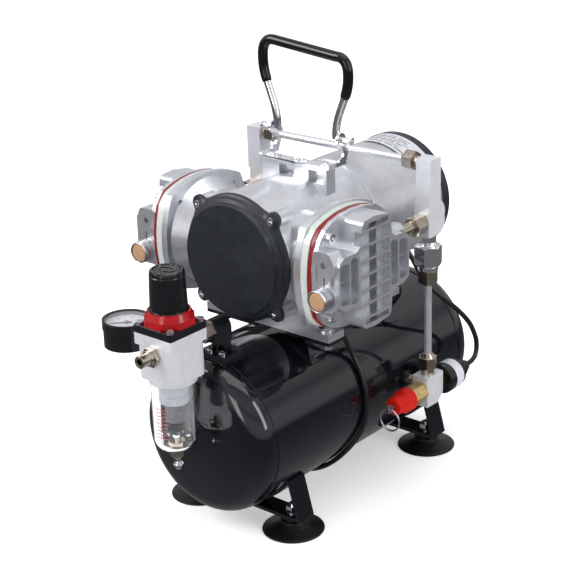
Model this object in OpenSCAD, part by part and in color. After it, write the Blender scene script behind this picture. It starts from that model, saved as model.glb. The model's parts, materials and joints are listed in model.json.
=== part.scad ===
// Twin-cylinder airbrush compressor on an air tank.
// X points right, the front (regulator end) is at -Y, Z is up.
// The origin is on the floor, at the centre of the four feet.

/* [Tank] */
// Outer radius of the tank
tank_r = 64; // [63.5:0.1:64.5]
// Length of the straight barrel between the two weld seams
tank_l = 240; // [236:1:244]
// Height of the tank's axis above the floor
tank_z = 82.5; // [82.4:0.1:83]
// Sheet thickness of the tank
tank_t = 2; // [1.5:0.1:2.5]
// Depth of each domed end beyond its seam
dome_h = 26; // [25:0.5:27]

/* [Feet] */
// Distance of the feet from the centre line, sideways
foot_x = 50; // [48:1:52]
// Distance of the feet from the centre line, lengthways
foot_y = 91; // [88:1:94]
// Radius of a suction cup
cup_r = 25; // [23:1:27]
// Radius of the hole for a foot's stud in the leg bracket
foot_hole_r = 3.2; // [3.1:0.1:3.4]

/* [Pump] */
// Height of the crankshaft above the floor
pump_z = 217.5; // [217:0.5:218]
// Place of the two cylinders along the crankshaft
cyl_y = -50.5; // [-51:0.5:-50]
// Outer radius of the crankcase
case_r = 50; // [49:0.5:50.5]
// Outer radius of the motor housing
motor_r = 51; // [50.5:0.5:51.5]
// Crank throw: half of the pistons' stroke
throw = 5; // [4:0.5:5]
// Radius of the cylinder bore
bore_r = 20; // [19:0.5:21]

/* [Regulator] */
// Sideways place of the regulator's vertical axis
reg_x = 5; // [3:1:6]
// Lengthways place of the regulator's vertical axis
reg_y = -170; // [-172:1:-169]
// Height of the regulator's air ports
port_z = 172; // [171.5:0.5:172.5]
// Width of the regulator's square body
reg_w = 38.4; // [38:0.2:39]
// Radius of the threaded end of the air outlet (G 1/8 thread)
outlet_r = 4.86; // [4.8:0.02:4.9]

/* [Air line] */
// Sideways place of the down tube, the check valve and the manifold
line_x = 85; // [84.5:0.5:85.5]
// Lengthways place of the down tube
line_y = 44; // [43.5:0.5:44.5]
// Outer radius of the aluminium tubes
tube_r = 3.1; // [3:0.1:3.3]

/* [Handle] */
// Height of the hinge of the carrying handle
hinge_z = 297; // [296.5:0.5:297.5]
// Radius of the handle's steel rod
rod_r = 3.1; // [3:0.1:3.2]
// Outer radius of the handle's dipped grip
grip_r = 4.1; // [4:0.1:4.4]

/* [Hidden] */
$fn = 72;

fit = 0.05;              // radial clearance of a running fit
gap = 0.4;               // clearance between parts that pass each other
seam_y = tank_l / 2;
tank_in = tank_r - tank_t;

// Colours
black_c = "#16181b";
silver_c = "#c9cbce";
nickel_c = "#b3a894";
chrome_c = "#dfe2e6";
brass_c = "#b08d45";
rubber_c = "#1c1c1e";
red_c = "#c3161c";

// Mounting of the pump on the tank
strap_r = tank_r + 2;            // outer radius of the saddle straps
bar_z = tank_z + strap_r;        // underside of a mount bar
bar_t = 3;
pad_z = bar_z + bar_t;           // underside of a pump foot
pad_t = 6;
leg_ys = [-49, 50];              // places of the two mount bars
leg_w = 19;
pad_x = [64, 45];                // half length of each bar and of the pump foot on it
bolt_x = [53.5, 37];             // sideways place of the two bolts on each bar

// Legs of the tank
bracket_w = 18;
bracket_z = 12;
bracket_t = 3;

// Pump
flange_x = 65;                   // inner face of a cylinder flange
flange_t = 6;
plate_t = 6;                     // thickness of the pale valve plate
gasket_t = 3.5;
head_x = flange_x + flange_t + plate_t + gasket_t;
head_end = 103.5;                // outer face of a cylinder head
// Half lengthways size, half height and corner radius of the three outlines
flange_size = [48.5, 47.5, 55];
plate_size = [48.2, 46, 52.5];
gasket_size = [47.4, 45.5, 51.5];
head_bolt_y = 31.5;
head_bolt_z = 31;
lobe_front = -96;                // faces of the two lobes of a head
lobe_rear = 2;
lobe_t = 12;
hole_x = 90.5;                   // small hole in the front lobe
hole_z = 232.5;
port_x = 86;                     // outlet port of a head
head_port_z = 228.5;
filter_x = 91.5;
filter_z = 207.5;
case_y0 = -86;
case_y1 = 25;
chamber_r = 43;
neck_r = 35.4;                   // casting round a cylinder, between crankcase and flange
cover_y = -98;
lug = 37.3;                      // cover screws, sideways and upwards from the axis
motor_y1 = 114;
shaft_r = 7.45;
bearing_r = 13;
ring_in = 21;                    // bore of a connecting rod's big end
ring_out = 25;
rod_y = [-58, -48];              // front faces of the two connecting rods
rod_w = 6;
piston_end = flange_x + flange_t - 2;   // highest point of a piston's crown

// Air line
block_y = 33;
block_top = 281;
block_split = 246;
tube_y = 40;
tube_z = 276.5;
manifold_z = tank_z;
manifold_h = 26;

// Regulator
body_z0 = 151;
band_z = 178;
bonnet_z = 187;
ring_z = 193;
knob_z0 = 199;
knob_top = 234.5;
bowl_top = 147;
bowl_z0 = 91;
bowl_r = 17;
lug_y0 = -129;                   // front and rear faces of the bracket's lug
lug_y1 = -113;
lug_r = 8.3;
duct_y = -116.2;                 // air duct down through the bracket's stem into the tank
duct_r = 2.4;
cap_y = 17;                      // face at which the relief valve's cap meets its body
base_top = 152;                  // top of the bracket's base plate
base_y = [-128, -104];
bracket_screw = [6.5, -123];     // place of the two screws, from the regulator's axis and lengthways
gauge_x = -41;
gauge_r = 18.8;
gauge_z0 = 164;
gauge_z1 = 185;

// Carrying handle
platform_x = 33;
platform_y = 19;
platform_back = -8;
platform_z = 276;
ear_x = 33.4;
ear_t = 2;
hinge_y = -2;
handle_path = [[29.9, 297], [30, 303], [31, 309], [32.7, 315.5], [34.8, 321], [37, 326.5], [39.2, 332],
    [41.2, 338], [42.5, 344], [42.9, 350], [42.6, 355.5], [41.2, 360], [38.5, 363.2], [35, 364.8], [31, 365]];
grip_from = 6;                   // index in handle_path at which the grip starts
skew = 3;                        // the grip's right end sits this much lower, its left end higher
grip_z = 365;
rod_sides = 16;

// Mains switch
gland_r = 3.4;
rocker_x = -84.5;
rocker_z = 67.25;
rocker_tilt = 8;                 // lean of the rocker to either side

// Routes of the two leads
lead_r = 2.1;
switch_route = [[85, 100, 82.5], [85, 105, 82.5], [84.8, 110, 83.2], [84.4, 115, 85.6], [83.8, 118, 91],
    [83, 118.5, 99], [82, 116, 107], [81, 112, 115], [79.5, 106, 123], [77.5, 100, 130],
    [75, 94, 136.5], [71.5, 88, 143], [67.5, 83, 149], [63.5, 78.5, 155], [60, 75, 161],
    [57, 72.5, 168], [54.5, 70, 175], [52, 68.5, 181], [49, 67, 186.5], [45.5, 66, 190.5]];
motor_route = [[36, -8, 181], [38, -12, 174], [41, -18, 166], [44, -22, 158], [46.5, -23, 150],
    [49, -21, 141.5], [51.5, -18, 132.5], [55, -15.5, 122], [59.5, -14.5, 113],
    [63.4, -14.5, 102.8], [65.7, -14.5, 92.5], [66.4, -15, 81.5], [65.5, -16, 71],
    [62.9, -18, 60.8], [58.5, -22, 51], [52.5, -26.5, 42], [45, -30, 33.7], [36, -32.5, 26.5],
    [26, -33.5, 21.2], [15, -33.5, 17.6], [3, -33, 16], [-9, -32, 16.6], [-20.5, -30, 19.2],
    [-31.5, -27, 23.9], [-41.5, -22, 30.5], [-51, -15.5, 38], [-60, -8.5, 42],
    [-67.5, -4, 42.2], [-73, -1, 42.8], [-76, 0, 46.5], [-76, 0, 50]];

// ---------- general shapes ----------

module along_y(y0) translate([0, y0, 0]) rotate([-90, 0, 0]) children();

module ycyl(r, y0, y1, x = 0, z = 0) translate([x, y0, z]) rotate([-90, 0, 0]) cylinder(r = r, h = y1 - y0);

module xcyl(r, x0, x1, y = 0, z = 0) translate([x0, y, z]) rotate([0, 90, 0]) cylinder(r = r, h = x1 - x0);

module zcyl(r, z0, z1, x = 0, y = 0) translate([x, y, z0]) cylinder(r = r, h = z1 - z0);

// Hexagon prism of a given width across flats, along Z
module hex(af, h) cylinder(r = af / sqrt(3), h = h, $fn = 6);

module yhex(af, y0, y1, x, z) translate([x, y0, z]) rotate([-90, 0, 0]) hex(af, y1 - y0);

module xhex(af, x0, x1, y, z) translate([x0, y, z]) rotate([0, 90, 0]) hex(af, x1 - x0);

module mirror_x() {
    children();
    mirror([1, 0, 0]) children();
}

module box(lo, hi) translate(lo) cube(hi - lo);

// Flat strip of thickness t through a list of 2D points
module strip(path, t) {
    for (i = [0:len(path) - 2]) {
        d = path[i + 1] - path[i];
        translate(path[i]) rotate(atan2(d.y, d.x)) translate([0, -t / 2]) square([norm(d), t]);
    }
    for (i = [1:len(path) - 2]) translate(path[i]) circle(d = t);
}

// Square with round corners, centred
module round_square(w, r) {
    square([w - 2 * r, w], center = true);
    square([w, w - 2 * r], center = true);
    for (x = [-1, 1], y = [-1, 1]) translate([x, y] * (w / 2 - r)) circle(r = r);
}

// Round tube swept along a list of points
function unit(v) = v / norm(v);
function tangent(p, i) = unit(p[min(i + 1, len(p) - 1)] - p[max(i - 1, 0)]);
function side_of(t) = unit(cross(t, abs(t.y) < 0.8 ? [0, 1, 0] : [1, 0, 0]));
// Each ring keeps the direction of the last one, turned as little as possible
function frames(p, i = 0, s = undef) =
    let (t = tangent(p, i), a = is_undef(s) ? side_of(t) : unit(s - t * (s * t)))
    i == len(p) - 1 ? [[a, cross(t, a)]] : concat([[a, cross(t, a)]], frames(p, i + 1, a));

function rings(p, r, sides) = let (f = frames(p)) [for (i = [0:len(p) - 1], k = [0:sides - 1])
    p[i] + r * (cos(k * 360 / sides) * f[i][0] + sin(k * 360 / sides) * f[i][1])];
// Quads between the rings, wound outwards, or inwards when flip is set
function skin(n, sides, first = 0, flip = false) = [for (i = [0:n - 2], k = [0:sides - 1])
    let (a = first + i * sides, m = (k + 1) % sides)
    flip ? [a + k, a + m, a + sides + m, a + sides + k] : [a + k, a + sides + k, a + sides + m, a + m]];

module tube_along(p, r, sides = 8) {
    last = (len(p) - 1) * sides;
    caps = [[for (k = [0:sides - 1]) k], [for (k = [0:sides - 1]) last + sides - 1 - k]];
    polyhedron(rings(p, r, sides), concat(skin(len(p), sides), caps), convexity = 6);
}

// The same with a hole of radius r_in all along it
module sleeve_along(p, r, r_in, sides) {
    n = len(p);
    inner = n * sides;
    last = (n - 1) * sides;
    ends = [for (k = [0:sides - 1]) each let (m = (k + 1) % sides) [
        [k, m, inner + m, inner + k],
        [last + k, last + inner + k, last + inner + m, last + m]]];
    polyhedron(concat(rings(p, r, sides), rings(p, r_in, sides)),
        concat(skin(n, sides), skin(n, sides, inner, true), ends), convexity = 6);
}

// ---------- tank ----------

module tank_barrel() color(black_c) {
    difference() {
        union() {
            translate([0, 0, tank_z]) ycyl(tank_r, -seam_y, seam_y);
            for (i = [0, 1]) saddle(leg_ys[i], pad_x[i]);
            xcyl(9, tank_r - 3, tank_r + 3, line_y, manifold_z);
            zcyl(8, bracket_z, tank_z - tank_in, 0, 0);
        }
        translate([0, 0, tank_z]) ycyl(tank_in, -seam_y - 1, seam_y + 1);
        xcyl(4.9, tank_in - 5, tank_r + 4, line_y, manifold_z);
        zcyl(4, bracket_z - 1, tank_z - tank_in + 3, 0, 0);
        zcyl(duct_r, tank_z, tank_z + tank_r + 5, reg_x, duct_y);
        for (i = [0, 1], s = [-1, 1])
            zcyl(foot_hole_r, bar_z - 1, bar_z + bar_t + 1, s * bolt_x[i], leg_ys[i]);
    }
}

// Strap round the top of the tank with a flat bar across it
module saddle(y, half) {
    difference() {
        translate([0, 0, tank_z]) ycyl(strap_r, y - leg_w / 2, y + leg_w / 2);
        translate([0, 0, tank_z]) ycyl(tank_r, y - leg_w, y + leg_w);
        translate([-tank_r - 5, y - leg_w, tank_z - tank_r - 5])
            cube([2 * tank_r + 10, 2 * leg_w, tank_r + 52]);
    }
    box([-half, y - leg_w / 2, bar_z], [half, y + leg_w / 2, bar_z + bar_t]);
    translate([0, y - leg_w / 2, 0]) rotate([-90, 0, 0]) mirror([0, 1]) linear_extrude(leg_w)
        difference() {
            translate([-12, bar_z - 3]) square([24, 3]);
            translate([0, tank_z]) circle(r = tank_r + 0.5);
        }
}

// Outline of a domed end: flange, knuckle and shallow crown
function dome(r, h, flange, knuckle, n) = let (
        c = h - flange,                                          // height of knuckle and crown
        k = r - knuckle,
        crown = (k * k + c * c - knuckle * knuckle) / (2 * (c - knuckle)),
        a = asin(k / (crown - knuckle)))
    concat([[r, 0]],
        [for (i = [0:n]) let (t = i / n * (90 - a)) [k + knuckle * cos(t), flange + knuckle * sin(t)]],
        [for (i = [1:n]) let (t = a * (1 - i / n)) [crown * sin(t), h - crown + crown * cos(t)]]);

module tank_head() color(black_c) rotate_extrude() {
    outer = dome(tank_r, dome_h, 4, 18, 9);
    inner = dome(tank_in, dome_h - tank_t, 4, 16, 9);
    polygon(concat(outer, [for (i = [len(inner) - 1:-1:0]) inner[i]]));
    // Bead of the weld seam
    polygon([[tank_in + 1, 0], [tank_r + 0.3, 0], [tank_r + 0.7, 0.5], [tank_r + 0.7, 1.5],
        [tank_r + 0.3, 2], [tank_in + 1, 2]]);
}

module tank_head_front() translate([0, -seam_y, tank_z]) rotate([90, 0, 0]) tank_head();

module tank_head_rear() translate([0, seam_y, tank_z]) rotate([-90, 0, 0]) tank_head();

// ---------- legs and feet ----------

// Bent strip: a bar along the bottom, two leaning uprights and an arch under the tank
module leg_bracket() difference() {
    rotate([90, 0, 0]) linear_extrude(bracket_w, center = true) difference() {
        polygon([[-62.5, bracket_z], [62.5, bracket_z], [64, bracket_z + 1.6], [55, 47], [-55, 47],
            [-64, bracket_z + 1.6]]);
        difference() {
            polygon([[-58.5, bracket_z + bracket_t], [58.5, bracket_z + bracket_t], [60.4, bracket_z + 5],
                [52, 47], [-52, 47], [-60.4, bracket_z + 5]]);
            translate([0, tank_z]) circle(r = strap_r);
        }
        translate([0, tank_z]) circle(r = tank_r);
    }
    for (x = [-foot_x, foot_x]) zcyl(foot_hole_r, 0, 20, x, 0);
}

module leg_brackets() color(black_c) for (y = [-foot_y, foot_y]) translate([0, y, 0]) leg_bracket();

module feet() for (x = [-foot_x, foot_x], y = [-foot_y, foot_y]) translate([x, y, 0]) children();

module suction_cups() color(rubber_c) feet() difference() {
    rotate_extrude() polygon([[19.5, 0], [cup_r, 0], [cup_r, 0.8], [20, 3.2], [13, 5.6], [8.5, 7.4],
        [8, 9], [8.6, 10], [8.6, bracket_z], [0, bracket_z], [0, 4.4], [6, 4.4], [13, 2.6]]);
    zcyl(3.1, 6, bracket_z + 1);
}

module foot_stud() {
    zcyl(2.9, 6.2, 23);
    translate([0, 0, bracket_z + bracket_t]) difference() {
        union() {
            cylinder(r = 6, h = 1);
            hex(10, 6);
        }
        translate([0, 0, -1]) cylinder(r = 2.95, h = 8);
    }
}

module pump_bolt() {
    top = pad_z + pad_t;
    zcyl(2.9, bar_z - 7.5, top + 1);
    zcyl(6.5, top, top + 1.2);
    translate([0, 0, top + 1.2]) hex(10, 4.2);
    translate([0, 0, bar_z - 6]) difference() {
        union() {
            hex(10, 5);
            translate([0, 0, 5]) cylinder(r = 6.2, h = 1);
        }
        translate([0, 0, -1]) cylinder(r = 2.95, h = 8);
    }
}

module hex_fasteners() color(chrome_c) {
    feet() foot_stud();
    for (i = [0, 1], s = [-1, 1]) translate([s * bolt_x[i], leg_ys[i], 0]) pump_bolt();
}

module drain_screw() color(nickel_c) {
    zcyl(4 - fit, bracket_z - gap, tank_z - tank_in + 1);
    difference() {
        zcyl(7, bracket_z - 7.5, bracket_z - gap);
        for (a = [0:30:330]) rotate(a) zcyl(0.9, bracket_z - 8, bracket_z, 7, 0);
    }
}

// ---------- pump ----------

// Outline of the square flanges with bowed sides, in the plane across X
module plate_outline(size) intersection() {
    bow = 90;
    translate([size.x - bow, 0]) circle(r = bow);
    translate([bow - size.x, 0]) circle(r = bow);
    translate([0, size.y - bow]) circle(r = bow);
    translate([0, bow - size.y]) circle(r = bow);
    circle(r = size.z);
}

// Extrudes a (y, z) outline centred on the cylinder axis from x0 to x1
module on_cylinder(x0, x1) translate([x0, cyl_y, pump_z]) rotate([90, 0, 90])
    linear_extrude(x1 - x0) children();

// Foot of the pump on mount bar i, rising to height top between its bolts
module base_leg(i, top) translate([0, leg_ys[i] + leg_w / 2, 0]) rotate([90, 0, 0]) linear_extrude(leg_w) {
    pad = pad_x[i];
    inner = bolt_x[i] - 8;
    polygon([[-pad, pad_z], [pad, pad_z], [pad, pad_z + pad_t], [inner, pad_z + pad_t],
        [22, top], [-22, top], [-inner, pad_z + pad_t], [-pad, pad_z + pad_t]]);
}

module bolt_holes(i) for (s = [-1, 1]) zcyl(foot_hole_r, pad_z - 1, pad_z + 20, s * bolt_x[i], leg_ys[i]);

module cover_points() for (x = [-lug, lug], z = [-lug, lug]) translate([x, 0, pump_z + z]) children();

module crankcase() color(silver_c) difference() {
    union() {
        translate([0, 0, pump_z]) ycyl(case_r, case_y0, case_y1);
        mirror_x() translate([0, 0, pump_z]) xcyl(neck_r, 0, flange_x, cyl_y);
        mirror_x() translate([case_r + 1.5, cyl_y, pump_z]) rotate([0, 90, 0])
            cylinder(r1 = neck_r, r2 = 44, h = flange_x - case_r - 1.5);
        mirror_x() on_cylinder(flange_x, flange_x + flange_t) plate_outline(flange_size);
        cover_points() ycyl(6, case_y0, case_y0 + 14);
        base_leg(0, 188);
        box([-platform_x, -platform_y, pump_z + 30], [platform_x, platform_back, platform_z]);
    }
    translate([0, 0, pump_z]) ycyl(chamber_r, case_y0 - 1, 17);
    translate([0, 0, pump_z]) ycyl(bearing_r, 10, 24);
    translate([0, 0, pump_z]) ycyl(9, 10, 26);
    translate([0, 0, pump_z]) xcyl(bore_r, -80, 80, cyl_y);
    cover_points() ycyl(1.7, case_y0 - 1, case_y0 + 10);
    for (sy = [-1, 1], sz = [-1, 1])
        mirror_x() xcyl(2.05, flange_x - 1, 80, cyl_y + sy * head_bolt_y, pump_z + sz * head_bolt_z);
    bolt_holes(0);
    // Pockets between the ribs of the handle platform
    for (x = [-9, 21]) box([x - 6, -platform_y - 1, pump_z + 46], [x + 9, 5 - platform_y, platform_z - 2.5]);
}

module front_cover() color(black_c) difference() {
    union() {
        translate([0, 0, pump_z]) along_y(0) rotate_extrude() polygon([[0, cover_y], [44.2, cover_y],
            [45.1, cover_y + 0.9], [46.5, cover_y + 3.2], [48.6, cover_y + 4.6], [50.4, cover_y + 8],
            [51, case_y0 - 1], [51, case_y0], [0, case_y0]]);
        cover_points() ycyl(6, case_y0 - 4, case_y0);
    }
    translate([0, 0, pump_z]) ycyl(chamber_r, cover_y + 2.5, case_y0 + 1);
    cover_points() ycyl(1.8, case_y0 - 6, case_y0 + 1);
    cover_points() ycyl(3.5, cover_y - 1, case_y0 - 4);
}

module bonnet_points() for (x = [-1, 1], y = [-1, 1])
    translate([reg_x + x * (reg_w / 2 - 3.6), reg_y + y * (reg_w / 2 - 3.6), 0]) children();

// Cross-headed screw whose head sits at height 0, with a shank of length l below
module pan_screw(l) {
    translate([0, 0, -l]) cylinder(r = 1.6, h = l);
    difference() {
        cylinder(r = 3.1, h = 2.2);
        for (a = [0, 90]) rotate(a) translate([-2, -0.4, 1]) cube([4, 0.8, 3]);
    }
}

module pan_screws() color(chrome_c) {
    cover_points() translate([0, case_y0 - 4, 0]) rotate([90, 0, 0]) pan_screw(12);
    bonnet_points() translate([0, 0, ring_z]) pan_screw(10);
    bracket_screws() translate([0, 0, base_top]) pan_screw(3);
}

module valve_plates() color("#d9dcd5") mirror_x() {
    x0 = flange_x + flange_t;
    difference() {
        on_cylinder(x0, x0 + plate_t) plate_outline(plate_size);
        for (sy = [-1, 1], sz = [-1, 1])
            xcyl(2.05, x0 - 1, x0 + 9, cyl_y + sy * head_bolt_y, pump_z + sz * head_bolt_z);
        for (z = [-8, 8]) xcyl(3, x0 - 1, x0 + 9, cyl_y, pump_z + z);
    }
    // Reed of the outlet hole
    translate([x0 + plate_t, cyl_y - 4, pump_z + 3]) cube([0.4, 8, 20]);
}

module head_gaskets() color(red_c) mirror_x() {
    x0 = head_x - gasket_t;
    difference() {
        on_cylinder(x0, head_x) plate_outline(gasket_size);
        on_cylinder(x0 - 1, head_x + 1) plate_outline([32, 30, 38]);
        for (sy = [-1, 1], sz = [-1, 1])
            xcyl(2.05, x0 - 1, head_x + 1, cyl_y + sy * head_bolt_y, pump_z + sz * head_bolt_z);
    }
}

// Cross-shaped finned block of a head, in the plane across X
module fin_cross() {
    square([44, 81], center = true);
    square([85, 41], center = true);
    difference() {
        square([62, 60], center = true);
        for (y = [-1, 1], z = [-1, 1]) translate([y * 32, z * 31]) circle(r = 11.5);
    }
}

module fin_grooves() {
    for (z = [-30:12:30]) translate([0, z]) square([33, 9.6], center = true);
    for (y = [-35, -23, 23, 35]) translate([y, 0]) strip([[0, -15.5], [0, 15.5]], 6.6);
    square([5.4, 82], center = true);
}

module head(x0 = head_x) color(silver_c) difference() {
    union() {
        on_cylinder(x0, x0 + 4) plate_outline(gasket_size);
        on_cylinder(x0, head_end) fin_cross();
        for (y = [lobe_front, lobe_rear - lobe_t])
            box([x0, y, filter_z - 9], [x0 + 19, y + lobe_t, filter_z + 36]);
        ycyl(10, lobe_front, lobe_front + 10, filter_x, filter_z);
    }
    on_cylinder(head_end - 9, head_end + 1) fin_grooves();
    // Hollow over the reeds
    on_cylinder(x0 - 1, x0 + 8) square([52, 50], center = true);
    for (s = [-1, 1], z = [-1, 1])
        xcyl(2.05, x0 - 1, x0 + 5, cyl_y + s * head_bolt_y, pump_z + z * head_bolt_z);
    for (s = [-1, 1], z = [-1, 1])
        xcyl(8.6, x0 + 4, head_end + 1, cyl_y + s * head_bolt_y, pump_z + z * head_bolt_z);
    ycyl(9.1, lobe_front - 4, lobe_front, filter_x, filter_z);
    ycyl(6, lobe_front - 1, lobe_front + 9, filter_x, filter_z);
    ycyl(2.4, lobe_front - 1, lobe_front + 9, hole_x, hole_z);
    ycyl(4, lobe_rear - 9, lobe_rear + 1, port_x, head_port_z);
}

module head_right() head();

module head_left() mirror([1, 0, 0]) head();

module head_bolts() color(chrome_c) mirror_x() for (sy = [-1, 1], sz = [-1, 1])
    translate([0, cyl_y + sy * head_bolt_y, pump_z + sz * head_bolt_z]) difference() {
        union() {
            xcyl(2, flange_x + 1, head_x + 5);
            xcyl(4.2, head_x + 4, head_x + 8.5);
        }
        xhex(3.4, head_x + 6, head_x + 9, 0, 0);
    }

module intake_filters() mirror_x() {
    y0 = lobe_front;
    color(nickel_c) difference() {
        union() {
            ycyl(8.8, y0 - 10, y0, filter_x, filter_z);
            ycyl(5.9, y0, y0 + 8, filter_x, filter_z);
        }
        ycyl(7.9, y0 - 11, y0 - 4, filter_x, filter_z);
        ycyl(3.5, y0 - 5, y0 + 9, filter_x, filter_z);
    }
    color("#c19a6b") ycyl(7.85, y0 - 10, y0 - 4.1, filter_x, filter_z);
}

// Swinging piston in one piece with its connecting rod, for the cylinder on the +X side
module piston(front_y) color("#a9adb2") {
    crown = piston_end - throw;
    translate([0, 0, pump_z]) {
        xcyl(bore_r - fit, crown - 5, crown, cyl_y);
        box([ring_out - 1.5, front_y, -5], [crown - 5, front_y + rod_w, 5]);
        difference() {
            ycyl(ring_out, front_y, front_y + rod_w);
            ycyl(ring_in, front_y - 1, front_y + rod_w + 1);
        }
    }
}

module piston_left() mirror([1, 0, 0]) piston(rod_y[0]);

module piston_right() piston(rod_y[1]);

module crankshaft() color("#8f949a") translate([0, 0, pump_z]) {
    ycyl(shaft_r, -64, 118);
    ycyl(10, -62, -40, throw, 0);
    difference() {
        ycyl(30, -70, -62);
        box([-40, -71, -40], [40, -61, -7]);
        box([2, -71, -40], [40, -61, 40]);
    }
}

module rotor() color("#7b7f86") translate([0, 0, pump_z]) difference() {
    ycyl(25.5, 36, 84);
    ycyl(shaft_r, 35, 85);
}

module fan() color("#e6e6e2") translate([0, 0, pump_z]) difference() {
    union() {
        ycyl(14, 90, 102);
        for (a = [0:45:315]) rotate([0, a, 0]) box([12, 91, -1], [41, 101, 1]);
    }
    ycyl(shaft_r, 89, 103);
}

module shaft_bearings() color("#d6d8da") translate([0, 0, pump_z]) for (y = [17, 108]) difference() {
    ycyl(bearing_r, y, y + 7);
    ycyl(shaft_r + fit, y - 1, y + 8);
}

module motor_housing() color(silver_c) difference() {
    union() {
        translate([0, 0, pump_z]) ycyl(motor_r, case_y1, motor_y1);
        base_leg(1, 180);
    }
    translate([0, 0, pump_z]) ycyl(47, case_y1 + 3, motor_y1 + 1);
    translate([0, 0, pump_z]) ycyl(14, case_y1 - 1, case_y1 + 4);
    bolt_holes(1);
}

module stator() color("#6d5a3a") translate([0, 0, pump_z]) difference() {
    union() {
        ycyl(46.9, 40, 80);
        ycyl(40, 32, 86);
    }
    ycyl(26, 31, 87);
}

module rear_cover() color(black_c) translate([0, 0, pump_z]) difference() {
    ycyl(52, motor_y1, 122);
    difference() {
        ycyl(47, motor_y1 - 1, 119.5);
        ycyl(16, motor_y1 - 2, 121);
    }
    ycyl(bearing_r, motor_y1 - 1, 115);
    ycyl(8.5, motor_y1 - 2, 119);
    for (a = [0:20:340]) rotate([0, a, 0]) box([20, 119, -2], [43, 123, 2]);
}

// ---------- air line ----------

module air_block() color(silver_c) difference() {
    union() {
        box([81, block_y, block_split - 2], [95, block_y + 14, block_top]);
        translate([79.5, 0, 0]) rotate([90, 0, 90]) linear_extrude(14) {
            translate([block_y, 232]) square([8, block_split - 232]);
            translate([block_y, 217]) square([11, 20]);
            translate([block_y + 11, 228]) circle(r = 11);
            translate([block_y + 11, 235]) circle(r = 11);
        }
    }
    xcyl(3.2, 79, 88, tube_y, tube_z);
    zcyl(3, 225, tube_z, 88, tube_y);
}

module air_block_left() mirror([1, 0, 0]) air_block();

module air_block_right() difference() {
    air_block();
    zcyl(4, 210, 225, line_x, line_y);
}

module cross_tube() color("#d4d7da") difference() {
    xcyl(tube_r, -81, 81, tube_y, tube_z);
    xcyl(2, -82, 82, tube_y, tube_z);
}

// Hexagonal nut on a tube end with its tapered neck, along Z, the neck on top
module tube_nut(af, h) difference() {
    union() {
        hex(af, h);
        translate([0, 0, h]) cylinder(r1 = af * 0.46, r2 = tube_r + 1, h = 3);
    }
    translate([0, 0, -1]) cylinder(r = tube_r + fit, h = h + 5);
}

module line_fittings() color(nickel_c) {
    mirror_x() {
        translate([76, tube_y, tube_z]) rotate([0, -90, 0]) tube_nut(14, 9);
        difference() {
            xcyl(4.6, 76, 81, tube_y, tube_z);
            xcyl(tube_r + fit, 75, 82, tube_y, tube_z);
        }
        difference() {
            union() {
                ycyl(5, lobe_rear, 20, port_x, head_port_z);
                yhex(14, 20, block_y, port_x, head_port_z);
                ycyl(3.9, lobe_rear - 8, lobe_rear, port_x, head_port_z);
            }
            ycyl(2.4, lobe_rear - 9, block_y + 1, port_x, head_port_z);
        }
    }
    translate([line_x, line_y, 176]) mirror([0, 0, 1]) tube_nut(15, 0.1);
    translate([line_x, line_y, 176]) difference() {
        hex(15, 10);
        translate([0, 0, -1]) cylinder(r = tube_r + fit, h = 12);
    }
    translate([line_x, line_y, 101]) tube_nut(14, 9);
    difference() {
        zcyl(5.6, manifold_z + manifold_h / 2, 101, line_x, line_y);
        zcyl(tube_r + fit, 90, 102, line_x, line_y);
    }
    difference() {
        union() {
            xcyl(7, tank_r + 3, line_x - 7.5, line_y, manifold_z);
            xcyl(4.8, tank_r - 3, tank_r + 3, line_y, manifold_z);
        }
        xcyl(3, tank_r - 4, line_x, line_y, manifold_z);
    }
}

module check_valve() color(chrome_c) translate([line_x, line_y, 0]) difference() {
    union() {
        zcyl(6.5, 208, 217);
        zcyl(3.9, 217, 222);
        zcyl(11.6, 190, 208);
        zcyl(8.4, 186, 190);
    }
    zcyl(tube_r + fit, 180, 200);
    zcyl(2, 199, 223);
}

module down_tube() color("#d4d7da") translate([line_x, line_y, 0]) difference() {
    zcyl(tube_r, 97, 192);
    zcyl(2, 90, 200);
}

module manifold_block() color(silver_c) difference() {
    lo = [line_x - 7.5, block_y, manifold_z - manifold_h / 2];
    hi = [line_x + 7.5, block_y + 22, manifold_z + manifold_h / 2];
    box(lo, hi);
    translate([lo.x - 1, hi.y, lo.z]) rotate([45, 0, 0]) translate([0, -5, -5]) cube([20, 10, 10]);
    ycyl(4.4, block_y - 1, hi.y + 1, line_x, manifold_z);
    xcyl(3, lo.x - 1, line_x, line_y, manifold_z);
    zcyl(3.5, manifold_z, hi.z + 1, line_x, line_y);
}

module relief_valve_body() color(brass_c) difference() {
    union() {
        yhex(16, cap_y, block_y, line_x, manifold_z);
        ycyl(4.3, block_y, block_y + 6, line_x, manifold_z);
    }
    ycyl(2.5, cap_y - 1, block_y + 7, line_x, manifold_z);
}

module relief_valve_cap() color(red_c) difference() {
    union() {
        ycyl(9.8, 8, cap_y, line_x, manifold_z);
        translate([line_x, 0, manifold_z]) along_y(5) cylinder(r1 = 7.6, r2 = 9.8, h = 3);
        ycyl(7.6, -4, 5, line_x, manifold_z);
    }
    ycyl(6, 8, cap_y + 1, line_x, manifold_z);
    ycyl(1.6, -5, 9, line_x, manifold_z);
}

module relief_stem() color(chrome_c) difference() {
    union() {
        ycyl(1.6 - fit, -8, 12, line_x, manifold_z);
        ycyl(4, 12, 14, line_x, manifold_z);
        box([line_x - 1.2, -12, manifold_z - 3], [line_x + 1.2, -5.5, manifold_z + 3]);
    }
    xcyl(1.7, line_x - 3, line_x + 3, -9, manifold_z);
}

module pull_ring() color(chrome_c) translate([line_x, -9, manifold_z - 9.4]) rotate([90, 0, 0])
    rotate_extrude() translate([9.4, 0]) circle(r = 0.8, $fn = 24);

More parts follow.
